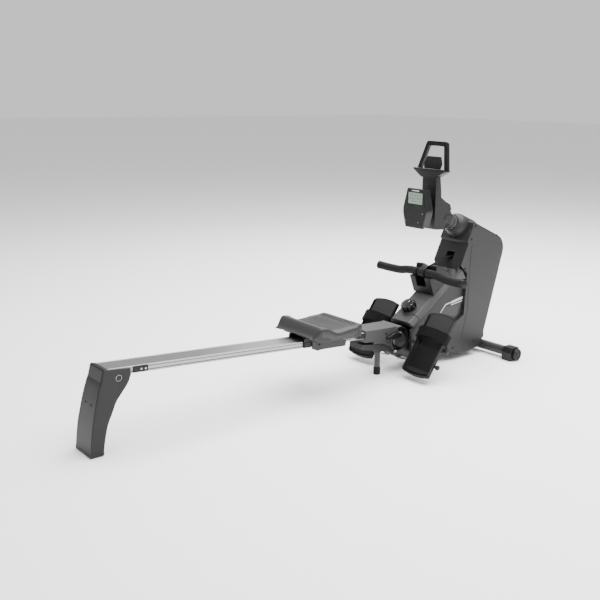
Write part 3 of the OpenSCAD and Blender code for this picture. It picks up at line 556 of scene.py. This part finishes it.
face_shell = soften(beam(console_outline, 1545, 1563), 4, 3, 30)
face_shell = carve(face_shell, soften(box((1540, -45, 720), (1548, 38, 771)), 1.5, 2))
build("console_face", face_shell, machine, "frame", console_black, ["console_front"])
back_shell = soften(beam(shrunk(console_outline, 0.94), 1564, 1600), 9, 4, 30, lambda e: all(
    v.co.x > 1599 for v in e.verts))
build("console_rear_shell", back_shell, machine, "frame", console_black, ["console_back"])
build("console_seam", beam(shrunk(console_outline, 0.92), 1562, 1565), machine, "frame",
      seam_and_shade_black)
build("console_arm", soften(box((1596, -24, 668), (1636, 24, 738)), 4, 3), machine, "frame",
      console_black)
display_green = surface("display", shade(160), 0.35, grain_group, {"Grain scale": 300.0}, 0.04)
display_green.node_tree.nodes["Principled BSDF"].inputs["Coat Weight"].default_value = 0.6
for n in display_green.node_tree.nodes:
    if n.type == "MIX":
        n.inputs["A"].default_value = (0.17, 0.22, 0.185, 1)
        n.inputs["B"].default_value = (0.21, 0.27, 0.225, 1)
build("display", box((1546.6, -44, 721), (1549, 37, 770)), machine, "frame", display_green,
      ["console_window"])
segment_grey = moulded("display segment", 48, 0.5, 900.0, 0.02)
for row, z in enumerate((760, 747, 734)):
    for column in range(5):
        y = -33 + column * 15
        wide = 4.6 if (row + column) % 3 else 2.4
        build(f"display_mark_{row}_{column}", box((1546.3, y - wide, z - 0.8), (1546.8, y + wide, z + 0.8)),
              machine, "frame", segment_grey)
        build(f"display_digit_{row}_{column}", box((1546.3, y - wide * 0.6, z - 5.4),
              (1546.8, y + wide * 0.5, z - 3.0)), machine, "frame", segment_grey)
build("badge_bar", soften(box((1543.8, -26, 776), (1546, 16, 780.5)), 0.8, 2), machine, "frame",
      white_print)
key_grey = moulded("key rubber", 40, 0.55, 1200.0)
for name, y, z in (("top", -50, 683), ("middle", -29, 643), ("side", 45, 645)):
    key = turned([(0, -3), (4.5, -3), (4.5, 1.2), (3.9, 2.0), (2.5, 2.4), (0, 2.4)], 32)
    key_axes = axes(1545, z) @ Matrix.Translation((0, y, 0)) @ Matrix.Rotation(-math.pi / 2, 4, "Y")
    build(f"key_{name}", key, key_axes, f"press_{name}", key_grey, [f"button_{name}"])
    icon = turned([(0, 2.2), (1.7, 2.2), (1.7, 2.6), (0, 2.6)], 20)
    build(f"key_mark_{name}", icon, key_axes, f"press_{name}", white_print)

# Tablet holder: a boat-shaped shelf with a front lip, a leaning loop behind it, and a soft pad that the
# screen rests on.
holder_black = moulded("holder plastic", 18, 0.42, 900.0)
pad_black = moulded("soft pad", 18, 0.85, 500.0, relief=0.0003)

hull_line = [(0, 830), (36, 830), (56, 841), (76, 852), (88, 859)]
shelf_rings, lip_rings = [], []
for y in range(-88, 89, 8):
    front = 1617 + 9 * (y / 88) ** 2
    keel = next(low + (high - low) * (abs(y) - a) / (b - a)
                for (a, low), (b, high) in zip(hull_line, hull_line[1:]) if abs(y) <= b)
    shelf_rings.append([(front + 1, y, 862), (front + 3, y, keel + 1), (front + 6, y, keel), (1666, y, keel),
                        (1668, y, keel + 2), (1668, y, 862)])
    lip_rings.append([(front, y, 861), (front, y, 868), (front + 1.5, y, 869), (front + 6.5, y, 869),
                      (front + 8, y, 867.5), (front + 8, y, 861)])
build("shelf", lofted(shelf_rings), machine, "frame", holder_black, ["tablet_holder"])
build("shelf_lip", lofted(lip_rings), machine, "frame", holder_black)
loop_axes = axes(1655, 859, 12)
loop_outer = rounded([(-88, 0, 1), (-57, 127, 12), (57, 127, 12), (88, 0, 1)])
loop_inner = rounded([(-68, 0, 1), (-43, 107, 8), (43, 107, 8), (68, 0, 1)])
loop = lofted([[(-7, *outside), (7, *outside), (7, *inside), (-7, *inside)]
               for outside, inside in zip(loop_outer, loop_inner)])
build("loop", soften(loop, 2, 3, 40), loop_axes, "frame", holder_black)
pad = soften(beam([(-49, 6), (-54, 30), (-42, 60), (34, 60), (46, 30), (42, 6)], -15, -7), 2.2, 3, 20)
build("screen_pad", pad, loop_axes, "frame", pad_black, ["tablet_pad"])

# Rail: a brushed aluminium extrusion with raised edges along its top and two grooves down each side,
# whose dark is painted shade on black strips laid in them. It runs from inside the rear leg to the
# hinge, and carries a pair of end stops on each side.
brushed_group, given, result = new_group("brushed metal", {"Along": 6.0, "Across": 900.0}, ["Tone", "Height"])
coords = brushed_group.nodes.new("ShaderNodeTexCoord")
stretch = brushed_group.nodes.new("ShaderNodeVectorMath")
stretch.operation = "MULTIPLY"
joined = brushed_group.nodes.new("ShaderNodeCombineXYZ")
streaks = brushed_group.nodes.new("ShaderNodeTexNoise")
streaks.inputs["Scale"].default_value = 1.0
streaks.inputs["Detail"].default_value = 2.0
wire(brushed_group, given.outputs["Along"], joined.inputs["X"])
wire(brushed_group, given.outputs["Across"], joined.inputs["Y"])
wire(brushed_group, given.outputs["Across"], joined.inputs["Z"])
wire(brushed_group, coords.outputs["Object"], stretch.inputs[0])
wire(brushed_group, joined.outputs["Vector"], stretch.inputs[1])
wire(brushed_group, stretch.outputs["Vector"], streaks.inputs["Vector"])
wire(brushed_group, streaks.outputs["Fac"], result.inputs["Tone"])
wire(brushed_group, streaks.outputs["Fac"], result.inputs["Height"])
rail_metal = surface("rail aluminium", shade(150), 0.32, brushed_group, {}, 0.06, 0.00003, metallic=0.85)
# Black for strips in the rail's grooves: painted shade of the grooves.
painted_groove_shade = moulded("groove painted shade", 16, 0.6, 900.0)
rail_axes = axes(1431, 155, 3.77)
SIDEWAYS = Matrix.Rotation(-math.pi / 2, 4, "X")
TOP, BOTTOM, HALF = 44.7, 18.7, 43.75
right_side = [(-HALF, TOP - 1), (-HALF, 39), (-HALF + 3.5, 39), (-HALF + 3.5, 37.2), (-HALF + 0.8, 37.2),
              (-HALF + 0.8, 26.4), (-HALF + 3.5, 26.4), (-HALF + 3.5, 24.4), (-HALF, 24.4),
              (-HALF, BOTTOM + 1), (-HALF + 1, BOTTOM)]
left_side = [(-y, z) for y, z in reversed(right_side)]
rail_outline = [(HALF - 1, TOP), (HALF - 5, TOP), (HALF - 6, TOP - 0.8), (-HALF + 6, TOP - 0.8),
                (-HALF + 5, TOP), (-HALF + 1, TOP)] + right_side + left_side
build("rail_extrusion", soften(beam(rail_outline, -1362, -70), 0.4, 2), rail_axes, "rail",
      rail_metal, ["rail"])
for side, sign in SIDES:
    flip = on_side(rail_axes, sign)
    # A black strip in each groove: painted shade of the groove.
    for line, (low, high) in (("upper", (37.2, 39)), ("lower", (24.4, 26.4))):
        build(f"rail_groove_{line}_{side}", box((-1361, HALF - 3.6, low), (-72, HALF - 2.2, high)), flip,
              "rail", painted_groove_shade)
    for end, u, length in (("rear", -1268, 54), ("front", -246, 40)):
        stop = soften(box((u, HALF + 0.3, 22), (u + length, HALF + 4.8, 43)), 1.2, 2)
        build(f"end_stop_{end}_{side}", stop, flip, "rail", cap_black)
        build(f"end_stop_root_{end}_{side}", box((u, HALF - 3, 26.5), (u + length, HALF + 0.4, 37)), flip,
              "rail", cap_black)
        for i, along in enumerate((length - 26, length - 10) if end == "rear" else ()):
            head = turned([(0, 0), (3.6, 0), (3.6, 0.6), (2.6, 1.4), (1.6, 1.4), (1.2, 0.7), (0, 0.7)], 20)
            build(f"stop_screw_{end}_{side}_{i}", head, flip @ Matrix.Translation((u + along, HALF + 4.7, 32))
                  @ SIDEWAYS, "rail", bright_steel)
build("stop_bumper", soften(box((-1259, HALF + 0.6, 27), (-1254, HALF + 4, 38)), 1, 2), rail_axes @ MIRROR,
      "rail", rubber, ["rail_stops"])

# Rear leg: a hollow moulded leg that curves down and back from the rail's end, with a cap band across
# its rear face, a plain ring on each side, two deep screw wells whose dark is painted shade on black
# discs, and a toothed foot.
leg_plastic = moulded("leg plastic", 32, 0.46, 800.0, 0.07)
band_plastic = moulded("leg band", 33, 0.46, 800.0, 0.07)


def through(points, steps=4):
    """A smooth line through points, with steps pieces between each two."""
    points = [Vector(p) for p in points]
    ends = [2 * points[0] - points[1]] + points + [2 * points[-1] - points[-2]]
    line = []
    for a, b, c, d in zip(ends, ends[1:], ends[2:], ends[3:]):
        for i in range(steps):
            t = i / steps
            line.append(tuple(0.5 * (2 * b + (c - a) * t + (2 * a - 5 * b + 4 * c - d) * t * t
                                     + (3 * b - a - 3 * c + d) * t ** 3)))
    return line + [tuple(points[-1])]


front_edge = through([(156, 256), (145, 231), (122, 202), (100, 175), (83, 138), (66, 101), (57, 65),
                      (50, 28), (48.5, 12)])
rear_edge = through([(0.5, 12), (4, 60), (9, 100), (17, 141), (27, 186), (41, 235), (49, 256), (56, 289)])
leg = slab([(156, 279)] + front_edge + rear_edge + [(62, 291.5), (72, 288)], -58.5, 58.5)
leg = soften(leg, 4.5, 4, 50)
for v in leg.verts:
    v.co.y *= (58.5 - 8.5 * max(0.0, min(1.0, (v.co.z - 12) / 270)) ** 1.1) / 58.5
build("leg_body", leg, machine, "rail", leg_plastic, ["rear_leg"])
# The wells are dark discs: their black is painted shade of the deep screw holes.
for i, y in enumerate((-22, 20)):
    well = turned([(0, -1), (5.6, -1), (5.6, 0.9), (4.8, 1.2), (4.2, -0.4), (0, -0.4)], 24)
    build(f"leg_screw_{i}", well, axes(23.6, 169) @ Matrix.Translation((0, y, 0))
          @ Matrix.Rotation(math.radians(-90 - 13), 4, "Y"), "rail", seam_and_shade_black)
band = soften(slab([(46.4, 250), (48, 249.5), (56.5, 287), (55, 287.5)], -47, 47), 0.8, 2)
build("leg_band", band, machine, "rail", band_plastic)
for side, sign in SIDES:
    flip = on_side(machine, sign)
    mark_axes = flip @ Matrix.Translation((110, 51.0, 254)) @ SIDEWAYS
    mark = turned([(0, 0), (10.6, 0), (10.6, 0.8), (9.9, 0.8), (9.9, 0.3), (0, 0.3)], 48)
    for face in mark.faces:
        face.material_index = 1 if all(math.hypot(v.co.x, v.co.y) < 10 for v in face.verts) else 0
    ring_mark = build(f"leg_mark_{side}", mark, mark_axes, "rail", pale_print)
    ring_mark.data.materials.append(leg_plastic)
    dot = turned([(0, 0), (2.2, 0), (2.2, 0.7), (0, 0.7)], 16)
    build(f"leg_dot_{side}", dot, flip @ Matrix.Translation((136, 50.9, 236))
          @ SIDEWAYS, "rail", seam_and_shade_black)
foot = soften(box((0.2, -58.6, 5), (48.5, 58.6, 13.5)), 1.0, 2)
build("rear_foot_pad", foot, machine, "rail", leg_plastic, ["rear_foot"])
for i in range(11):
    y = -58.2 + i * 10.6
    tooth = soften(beam([(y, 5.5), (y + 10.4, 5.5), (y + 8.6, 0), (y + 4.4, 0)], 0.6, 48), 0.6, 2)
    build(f"foot_tooth_{i}", tooth, machine, "rail", leg_plastic)

# Hinge cover: a light grey moulding over the rail's front end, which ends in an open drum round the
# hinge. Black rings line the drum's mouths and run on into black discs across them, painted shade of
# the hollow drum, and a dark disc turns with it. Two bright links show below.
cover_plastic = moulded("cover plastic", 57, 0.42, 800.0, 0.06)
cover = slab([(-203, 2), (-203, 50), (-197, 53.5), (-120, 54), (-60, 55), (-24, 56), (-10, 54), (-10, 20),
              (-60, 4), (-150, 3)], -51, 51)
cover = soften(cover, 3, 3, 40)
build("cover_block", cover, rail_axes, "rail", cover_plastic, ["hinge_cover"])
lower = soften(slab([(-150, -9), (-150, 6), (-40, 8), (-40, -30), (-60, -24), (-96, -12)], -50, 50), 3, 3)
build("cover_lower_block", lower, rail_axes, "rail", cover_plastic)
disc_paint = moulded("disc paint", 30, 0.5, 700.0)
drum_arc = [(56 * math.cos(math.radians(a)), 56 * math.sin(math.radians(a))) for a in range(82, 238, 6)]
drum_inner = [(51.5 * math.cos(math.radians(a)), 51.5 * math.sin(math.radians(a))) for a in range(82, 238, 6)]
drum = soften(slab(drum_arc + drum_inner[::-1], -55, 55), 1.2, 2, 40)
build("cover_drum", drum, rail_axes, "rail", cover_plastic)
for side, sign in SIDES:
    flip = on_side(rail_axes, sign)
    # A black ring that runs on into a disc across the mouth: the disc is painted shade of the drum's hollow
    # inside.
    mouth = turned([(0, 37), (55, 37), (55, 49), (54, 50), (50, 50), (49, 49), (49, 40), (0, 40)], 60)
    build(f"drum_ring_shade_disc_{side}", mouth, flip @ SIDEWAYS, "rail",
          seam_and_shade_black)
    disc = turned([(0, 0), (30, 0), (30, 6), (28, 7.5), (24, 6.6), (14, 6.6), (12, 8), (8, 9), (0, 9)], 64)
    disc_axes = flip @ Matrix.Translation((14.4, 41, -10)) @ SIDEWAYS
    build(f"drum_disc_{side}", disc, disc_axes, "rail", disc_paint)
    for i, link in enumerate(([(1424, 63), (1474, 47), (1476, 52), (1426, 69)],
                              [(1402, 98), (1414, 98), (1414, 109), (1402, 109)])):
        build(f"linkage_{side}_{i}", soften(slab(link, 47, 53), 1.2, 2, 30),
              on_side(machine, sign), "frame", bright_steel)
    # A dark disc for the screw hole: its black is painted shade of the hole.
    hole = turned([(0, 0), (5.5, 0), (5.5, 0.8), (4.4, 1.2), (3.6, 0.2), (0, 0.2)], 24)
    build(f"cover_screw_{side}", hole, flip @ Matrix.Translation((-83, 50.9, 30))
          @ SIDEWAYS, "rail", seam_and_shade_black)

# Lock: a black lever on a round boss at the cover's right side. It pulls the sprung pin that holds the
# folded rail.
grip_black = moulded("grip black", 16, 0.4, 900.0)
lever = slab([(-86, 6), (-84, 18), (-62, 24), (-44, 33), (-14, 31), (0, 22), (2, 10), (-30, 2), (-60, 4)],
             -66, -54)
build("lock_lever", soften(lever, 3.5, 3), rail_axes, "lock", grip_black, ["lock_knob"])
stem = turned([(0, 0), (10, 0), (11, 2), (11, 10), (9.5, 12), (0, 12)], 32)
boss_axes = rail_axes @ Matrix.Translation((-37, -51, 16)) @ Matrix.Rotation(math.pi / 2, 4, "X")
build("lock_boss", stem, boss_axes, "lock", grip_black)

# Seat: one grained moulding with a raised back edge, cheeks that swell at the corners, and a dished
# middle with shallow curved ribs. Its underside is a shell that sits over the carriage.
ribs_group, given, result = new_group(
    "curved ribs", {"Pitch": 0.013, "Grain scale": 900.0}, ["Tone", "Height"])
coords = ribs_group.nodes.new("ShaderNodeTexCoord")
centre = ribs_group.nodes.new("ShaderNodeMapping")
centre.inputs["Location"].default_value = (0.13, 0.0, 0.0)
flatten = ribs_group.nodes.new("ShaderNodeVectorMath")
flatten.operation = "MULTIPLY"
flatten.inputs[1].default_value = (1.0, 1.0, 0.0)
distance = ribs_group.nodes.new("ShaderNodeVectorMath")
distance.operation = "LENGTH"
counted = ribs_group.nodes.new("ShaderNodeMath")
counted.operation = "DIVIDE"
ridge = ribs_group.nodes.new("ShaderNodeMath")
ridge.operation = "PINGPONG"
ridge.inputs[1].default_value = 0.5
fine = ribs_group.nodes.new("ShaderNodeTexNoise")
mixed = ribs_group.nodes.new("ShaderNodeMix")
mixed.inputs["Factor"].default_value = 0.25
wire(ribs_group, coords.outputs["Object"], centre.inputs["Vector"])
wire(ribs_group, centre.outputs["Vector"], flatten.inputs[0])
wire(ribs_group, flatten.outputs["Vector"], distance.inputs[0])
wire(ribs_group, distance.outputs["Value"], counted.inputs[0])
wire(ribs_group, given.outputs["Pitch"], counted.inputs[1])
wire(ribs_group, counted.outputs["Value"], ridge.inputs[0])
wire(ribs_group, coords.outputs["Object"], fine.inputs["Vector"])
wire(ribs_group, given.outputs["Grain scale"], fine.inputs["Scale"])
wire(ribs_group, ridge.outputs["Value"], mixed.inputs["A"])
wire(ribs_group, fine.outputs["Fac"], mixed.inputs["B"])
wire(ribs_group, mixed.outputs["Result"], result.inputs["Tone"])
wire(ribs_group, mixed.outputs["Result"], result.inputs["Height"])
seat_plastic = moulded("seat plastic", 46, 0.42, 800.0, 0.07)
dish_plastic = surface("seat dish", shade(25), 0.5, ribs_group, {}, 0.3, 0.0006)


def along_path(value, points):
    """Reads a smooth line of (position, value) points."""
    if value <= points[0][0]:
        return points[0][1]
    for (a, low), (b, high) in zip(points, points[1:]):
        if value <= b:
            t = (value - a) / (b - a)
            return low + (high - low) * t * t * (3 - 2 * t)
    return points[-1][1]


edge_heights = [(-553, 74), (-508, 112), (-492, 111), (-430, 89), (-331, 100), (-300, 107), (-290, 106),
                (-275, 94)]
middle_heights = [(-553, 74), (-508, 112), (-492, 109), (-462, 95), (-400, 94), (-331, 100), (-300, 107),
                  (-290, 106), (-275, 94)]
half_widths = [(-553, 112), (-508, 129), (-470, 130), (-330, 128), (-295, 118), (-275, 98)]
undersides = [(-553, 64), (-523, 58), (-417, 46), (-377, 42), (-330, 45), (-275, 58)]
seat = bmesh.new()
bmesh.ops.create_grid(seat, x_segments=96, y_segments=64, size=1)
for v in seat.verts:
    u = -414 + 139 * v.co.x
    reach = abs(v.co.y)
    crest = along_path(reach, [(0.0, 0.0), (0.66, 0.12), (0.92, 1.0)])
    z = along_path(u, middle_heights) * (1 - crest) + along_path(u, edge_heights) * crest
    z -= 12 * max(0.0, (reach - 0.93) / 0.07) ** 2
    if -478 < u < -308 and reach < 0.76:
        z += 0.6 * math.cos(2 * math.pi * math.hypot(u + 525, 130 * v.co.y) / 13)
    v.co = (u, v.co.y * along_path(u, half_widths), z)
rim = [e for e in seat.edges if len(e.link_faces) == 1]
skirt = bmesh.ops.extrude_edge_only(seat, edges=rim)
hem = [v for v in skirt["geom"] if isinstance(v, bmesh.types.BMVert)]
for v in hem:
    v.co.z = along_path(v.co.x, undersides) + 2
    v.co.y *= 0.985
inner_rim = [e for e in skirt["geom"] if isinstance(e, bmesh.types.BMEdge) and len(e.link_faces) == 1]
bmesh.ops.triangle_fill(seat, edges=inner_rim, use_beauty=True)
bmesh.ops.recalc_face_normals(seat, faces=seat.faces)
for face in seat.faces:
    middle = face.calc_center_median()
    if face.normal.z > 0.7 and abs(middle.y) < 98 and -478 < middle.x < -300:
        face.material_index = 1
seat_piece = build("seat_top", seat, rail_axes, "seat", seat_plastic, ["seat_pad"], 1)
seat_piece.data.materials.append(dish_plastic)
carriage_black = moulded("carriage plastic", 22, 0.5, 900.0)
dress("seat_carriage", carriage_black, 0.8)
skirt_outline = [(-496, 51), (-493, 13), (-464, 2), (-445, 5), (-318, 6), (-315, 20), (-313, 51)]
for side, sign in SIDES:
    flip = on_side(rail_axes, sign)
    cheek = soften(slab(skirt_outline, 49.4, 56), 2.2, 3)
    build(f"seat_skirt_{side}", cheek, flip, "seat", seat_plastic)
    under = soften(slab([(-512, 50), (-512, 62), (-300, 60), (-300, 54), (-330, 50)], 46, 108), 3, 2)
    build(f"seat_under_{side}", under, flip, "seat", seat_plastic)
    bumper = soften(box((-531, 44.4, 19), (-494, 50, 40)), 1.5, 2)
    build(f"seat_bumper_{side}", bumper, flip, "seat", carriage_black)
    # A dark disc for the screw well: its black is painted shade of the hole.
    well = turned([(0, 0), (4.2, 0), (4.2, 0.8), (3.2, 1.1), (2.6, 0.1), (0, 0.1)], 20)
    build(f"skirt_screw_{side}", well, flip @ Matrix.Translation((-459, 55.9, 28))
          @ SIDEWAYS, "seat", seam_and_shade_black)
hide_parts("seat_skirts")
dress("roller_axles", bright_steel, 0.4)
tyre_grey = moulded("roller tyre", 36, 0.55, 1300.0)
for name in ("rollers_top_front", "rollers_top_rear", "rollers_low_front", "rollers_low_rear"):
    dress(name, tyre_grey, 1.0)

# Pull handle: a bent steel bar in two foam grips with plastic end caps. A black clip at its middle holds
# the end of the woven strap.
foam_black = moulded("grip foam", 14, 0.75, 1600.0, 0.1, 0.0003)
bar_black = moulded("bar paint", 11, 0.3, 900.0)


def tube(path, radius):
    """A closed round tube along a line of points."""
    curve = bpy.data.curves.new("tube", "CURVE")
    curve.dimensions = "3D"
    curve.bevel_depth = radius
    curve.bevel_resolution = 8
    curve.use_fill_caps = True
    run = curve.splines.new("POLY")
    run.points.add(len(path) - 1)
    for point, place in zip(run.points, path):
        point.co = (*place, 1)
    holder = bpy.data.objects.new("tube", curve)
    shape = bmesh.new()
    shape.from_mesh(holder.to_mesh())
    bpy.data.objects.remove(holder)
    bmesh.ops.remove_doubles(shape, verts=shape.verts, dist=0.001)
    bmesh.ops.recalc_face_normals(shape, faces=shape.faces)
    return shape


half_bar = through([(1617, 20, 413), (1617, 60, 413), (1617, 100, 409), (1615, 135, 403), (1606, 195, 404),
                    (1596, 250, 408)], 6)
whole_bar = [(x, -y, z) for x, y, z in reversed(half_bar)] + half_bar
build("bar_core", tube(whole_bar, 11), machine, "handle", bar_black, ["handle_bar"])
for side, sign in SIDES:
    flip = on_side(machine, sign)
    build(f"foam_grip_{side}", soften(tube(half_bar[1:], 18), 2.5, 3, 60), flip, "handle", foam_black)
    end = Vector(half_bar[-1])
    turn = (end - Vector(half_bar[-2])).to_track_quat("Z", "Y").to_matrix().to_4x4()
    plug = turned([(0, -6), (18.6, -6), (18.6, 0.5), (17.4, 2.4), (5, 3.2), (4, 2.2), (0, 2.2)], 40)
    build(f"grip_plug_{side}", plug, flip @ Matrix.Translation(end) @ turn, "handle",
          bar_black)
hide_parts("grips")
clip = turned([(0, -19), (18.6, -19), (19.4, -18), (19.4, 18), (18.6, 19), (0, 19)])
build("strap_clip", clip, axes(1617, 413) @ Matrix.Rotation(math.pi / 2, 4, "X"), "handle",
      foam_black)
tongue = slab([(1606, 424), (1620, 402), (1650, 420), (1654, 426), (1650, 438), (1636, 445), (1618, 436)],
              -16, 16)
build("clip_tongue", soften(tongue, 3.5, 3, 20), machine, "handle", bar_black)

# Pull strap: flat black webbing from the clip to the guide roller behind the slot. Its front part
# runs between handle and housing, and rides on no body.
weave_group, given, result = new_group("woven webbing", {"Threads": 900.0}, ["Tone", "Height"])
coords = weave_group.nodes.new("ShaderNodeTexCoord")
warp = weave_group.nodes.new("ShaderNodeTexWave")
warp.bands_direction = "X"
weft = weave_group.nodes.new("ShaderNodeTexWave")
weft.bands_direction = "Y"
crossed = weave_group.nodes.new("ShaderNodeMath")
crossed.operation = "MULTIPLY"
for wave in (warp, weft):
    wire(weave_group, coords.outputs["Object"], wave.inputs["Vector"])
    wire(weave_group, given.outputs["Threads"], wave.inputs["Scale"])
wire(weave_group, warp.outputs["Fac"], crossed.inputs[0])
wire(weave_group, weft.outputs["Fac"], crossed.inputs[1])
wire(weave_group, crossed.outputs["Value"], result.inputs["Tone"])
wire(weave_group, crossed.outputs["Value"], result.inputs["Height"])
strap_web = surface("black webbing", shade(15), 0.8, weave_group, {"Threads": 180.0}, 0.35, 0.0004,
                    specular=0.15)
strap_line = through([(1650, 0, 430.2), (1744, 0, 453.5), (1838, 0, 477)], 14)
strap = bmesh.new()
ring = [strap.verts.new((strap_line[0][0], y, strap_line[0][2] + z)) for y, z in
        ((-12.5, 0), (-12.5, 1.6), (12.5, 1.6), (12.5, 0))]
front = strap.faces.new(ring)
for a, b in zip(strap_line, strap_line[1:]):
    grown = bmesh.ops.extrude_face_region(strap, geom=[front])
    bmesh.ops.translate(strap, vec=Vector(b) - Vector(a),
                        verts=[v for v in grown["geom"] if isinstance(v, bmesh.types.BMVert)])
    old, front = front, next(f for f in grown["geom"] if isinstance(f, bmesh.types.BMFace))
    if old.is_valid and a != strap_line[0]:
        strap.faces.remove(old)
bmesh.ops.recalc_face_normals(strap, faces=strap.faces)
strap_piece = build("strap_run", strap, machine, None, strap_web, ["pull_strap"])
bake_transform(strap_piece)
strap_tail = slab([(1838, 477), (1928, 442.5), (1928, 444.5), (1838, 479)], -12.5, 12.5)
build("strap_tail", strap_tail, machine, "frame", strap_web)

# Foot plates: black plates with arched ends, a double rim and a smooth field at the heel, a speckled
# field at the toe, raised side lips, and a wide woven strap that loops over the instep.
pedal_black = surface("foot plate plastic", shade(22), 0.55, grain_group, {"Grain scale": 420.0}, 0.45,
                      0.0003)
toe_grain = surface("toe grain", shade(38), 0.6, grain_group, {"Grain scale": 260.0}, 0.6, 0.0005)
smooth_black = moulded("smooth black", 22, 0.3, 900.0)
pedal_axes = axes(1408, 36, -53.5)
arch = [(-10 * (1 - (i / 8) ** 2), i / 8 * 72.5) for i in range(-8, 9)]
toe = [(274 + 10 * (1 - (i / 8) ** 2), i / 8 * 72.5) for i in range(8, -9, -1)]


def flat(outline, low, high):
    """A closed plate in the foot plate's own plane: an outline of (x, y) points between two heights."""
    shape = slab(outline, low, high)
    bmesh.ops.transform(shape, matrix=Matrix(((1, 0, 0, 0), (0, 0, 1, 0), (0, 1, 0, 0), (0, 0, 0, 1))),
                        verts=shape.verts)
    bmesh.ops.recalc_face_normals(shape, faces=shape.faces)
    return shape


middle = Matrix.Translation((0, 167.5, 0))
for side, sign in SIDES:
    flip = on_side(pedal_axes, sign)
    body = f"foot_{side}"
    plate = soften(flat(arch + toe, -12, 0), 2.5, 3, 40)
    slot = flat([(118, -56), (150, -56), (150, -47), (118, -47)], -20, 6)
    build(f"foot_plate_{side}", carve(plate, slot), flip @ middle, body, pedal_black,
          [f"pedal_{side}"])
    for i, y in enumerate((-69.5, 69.5)):
        lip = soften(box((6, y - 3, -2), (266, y + 3, 8)), 2.4, 3)
        build(f"plate_lip_{side}_{i}", lip, flip @ middle, body, pedal_black)
    for i, (back, rise) in enumerate(((1, 9), (13, 5))):
        outer = [(x + back, y * 0.97) for x, y in arch]
        inner = [(x + back + 4, y * 0.97) for x, y in reversed(arch)]
        build(f"heel_rim_{side}_{i}", soften(flat(outer + inner, -2, rise), 1.4, 2, 50), flip @ middle, body,
              pedal_black)
    field = flat([(206, -62), (268, -62), (276, -30), (278, 0), (276, 30), (268, 62), (206, 62)], -1, 1.4)
    field = soften(field, 0.8, 2, 60)
    build(f"toe_field_{side}", field, flip @ middle, body, toe_grain)
    basin = soften(flat([(24, -60), (118, -60), (118, 60), (24, 60)], -1, 0.9), 0.8, 2, 60)
    build(f"heel_field_{side}", basin, flip @ middle, body, smooth_black)
    hub = soften(slab([(124, -12), (124, -26), (128, -35), (138, -39), (147, -35), (151, -26), (151, -12)],
                      109, 236), 2, 2)
    build(f"plate_hub_{side}", hub, flip, body, pedal_black)
    outer = [(-78.5 * math.cos(math.radians(a)), 48 * math.sin(math.radians(a))) for a in range(0, 181, 9)]
    inner = [(-75.5 * math.cos(math.radians(a)), 45 * math.sin(math.radians(a))) for a in range(180, -1, -9)]
    loop = beam([(-78.5, -15)] + outer + [(78.5, -15), (75.5, -12)] + inner + [(-75.5, -12)], 152, 200)
    loop = soften(loop, 0.8, 2, 60)
    build(f"instep_band_{side}", loop, flip @ middle, body, strap_web, [f"foot_strap_{side}"])
    flap = [(-80.5 * math.cos(math.radians(a)), 50.5 * math.sin(math.radians(a))) for a in range(60, 130, 7)]
    under = [(-77 * math.cos(math.radians(a)), 46.5 * math.sin(math.radians(a))) for a in range(129, 59, -7)]
    build(f"band_flap_{side}", soften(beam(flap + under, 155, 197), 0.8, 2, 60), flip @ middle, body,
          strap_web)
    for i, (x, z, r) in enumerate(((1510.7, 131.1, 12), (1457.1, 71.4, 10))):
        knob = turned([(0, 0), (r - 1, 0), (r, 1.5), (r, 9), (r - 2, 12), (r - 5, 13), (0, 13)], 32)
        build(f"bar_cap_{side}_{i}", knob, on_side(machine, sign)
              @ Matrix.Translation((x, 241.5, z)) @ SIDEWAYS, "frame",
              cap_black)
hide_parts("crossbar_caps")

# Drive line inside the housing: a machined cast flywheel, its belt and pulleys, the strap's reel and
# recoil spring, and the swinging bracket that the knob's cable draws away from the flywheel.
cast_metal = surface("cast iron", shade(120), 0.45, brushed_group, {"Along": 300.0}, 0.15, 0.00005,
                     metallic=0.9)
for name, material in (("flywheel", cast_metal), ("drive_pulley", cap_black), ("strap_reel", cap_black),
                       ("strap_roller", cap_black), ("inner_axles", bright_steel), ("drive_belt", rubber),
                       ("recoil_spring", bright_steel), ("magnet_bracket", bright_steel),
                       ("tension_cable", bar_black)):
    dress(name, material)
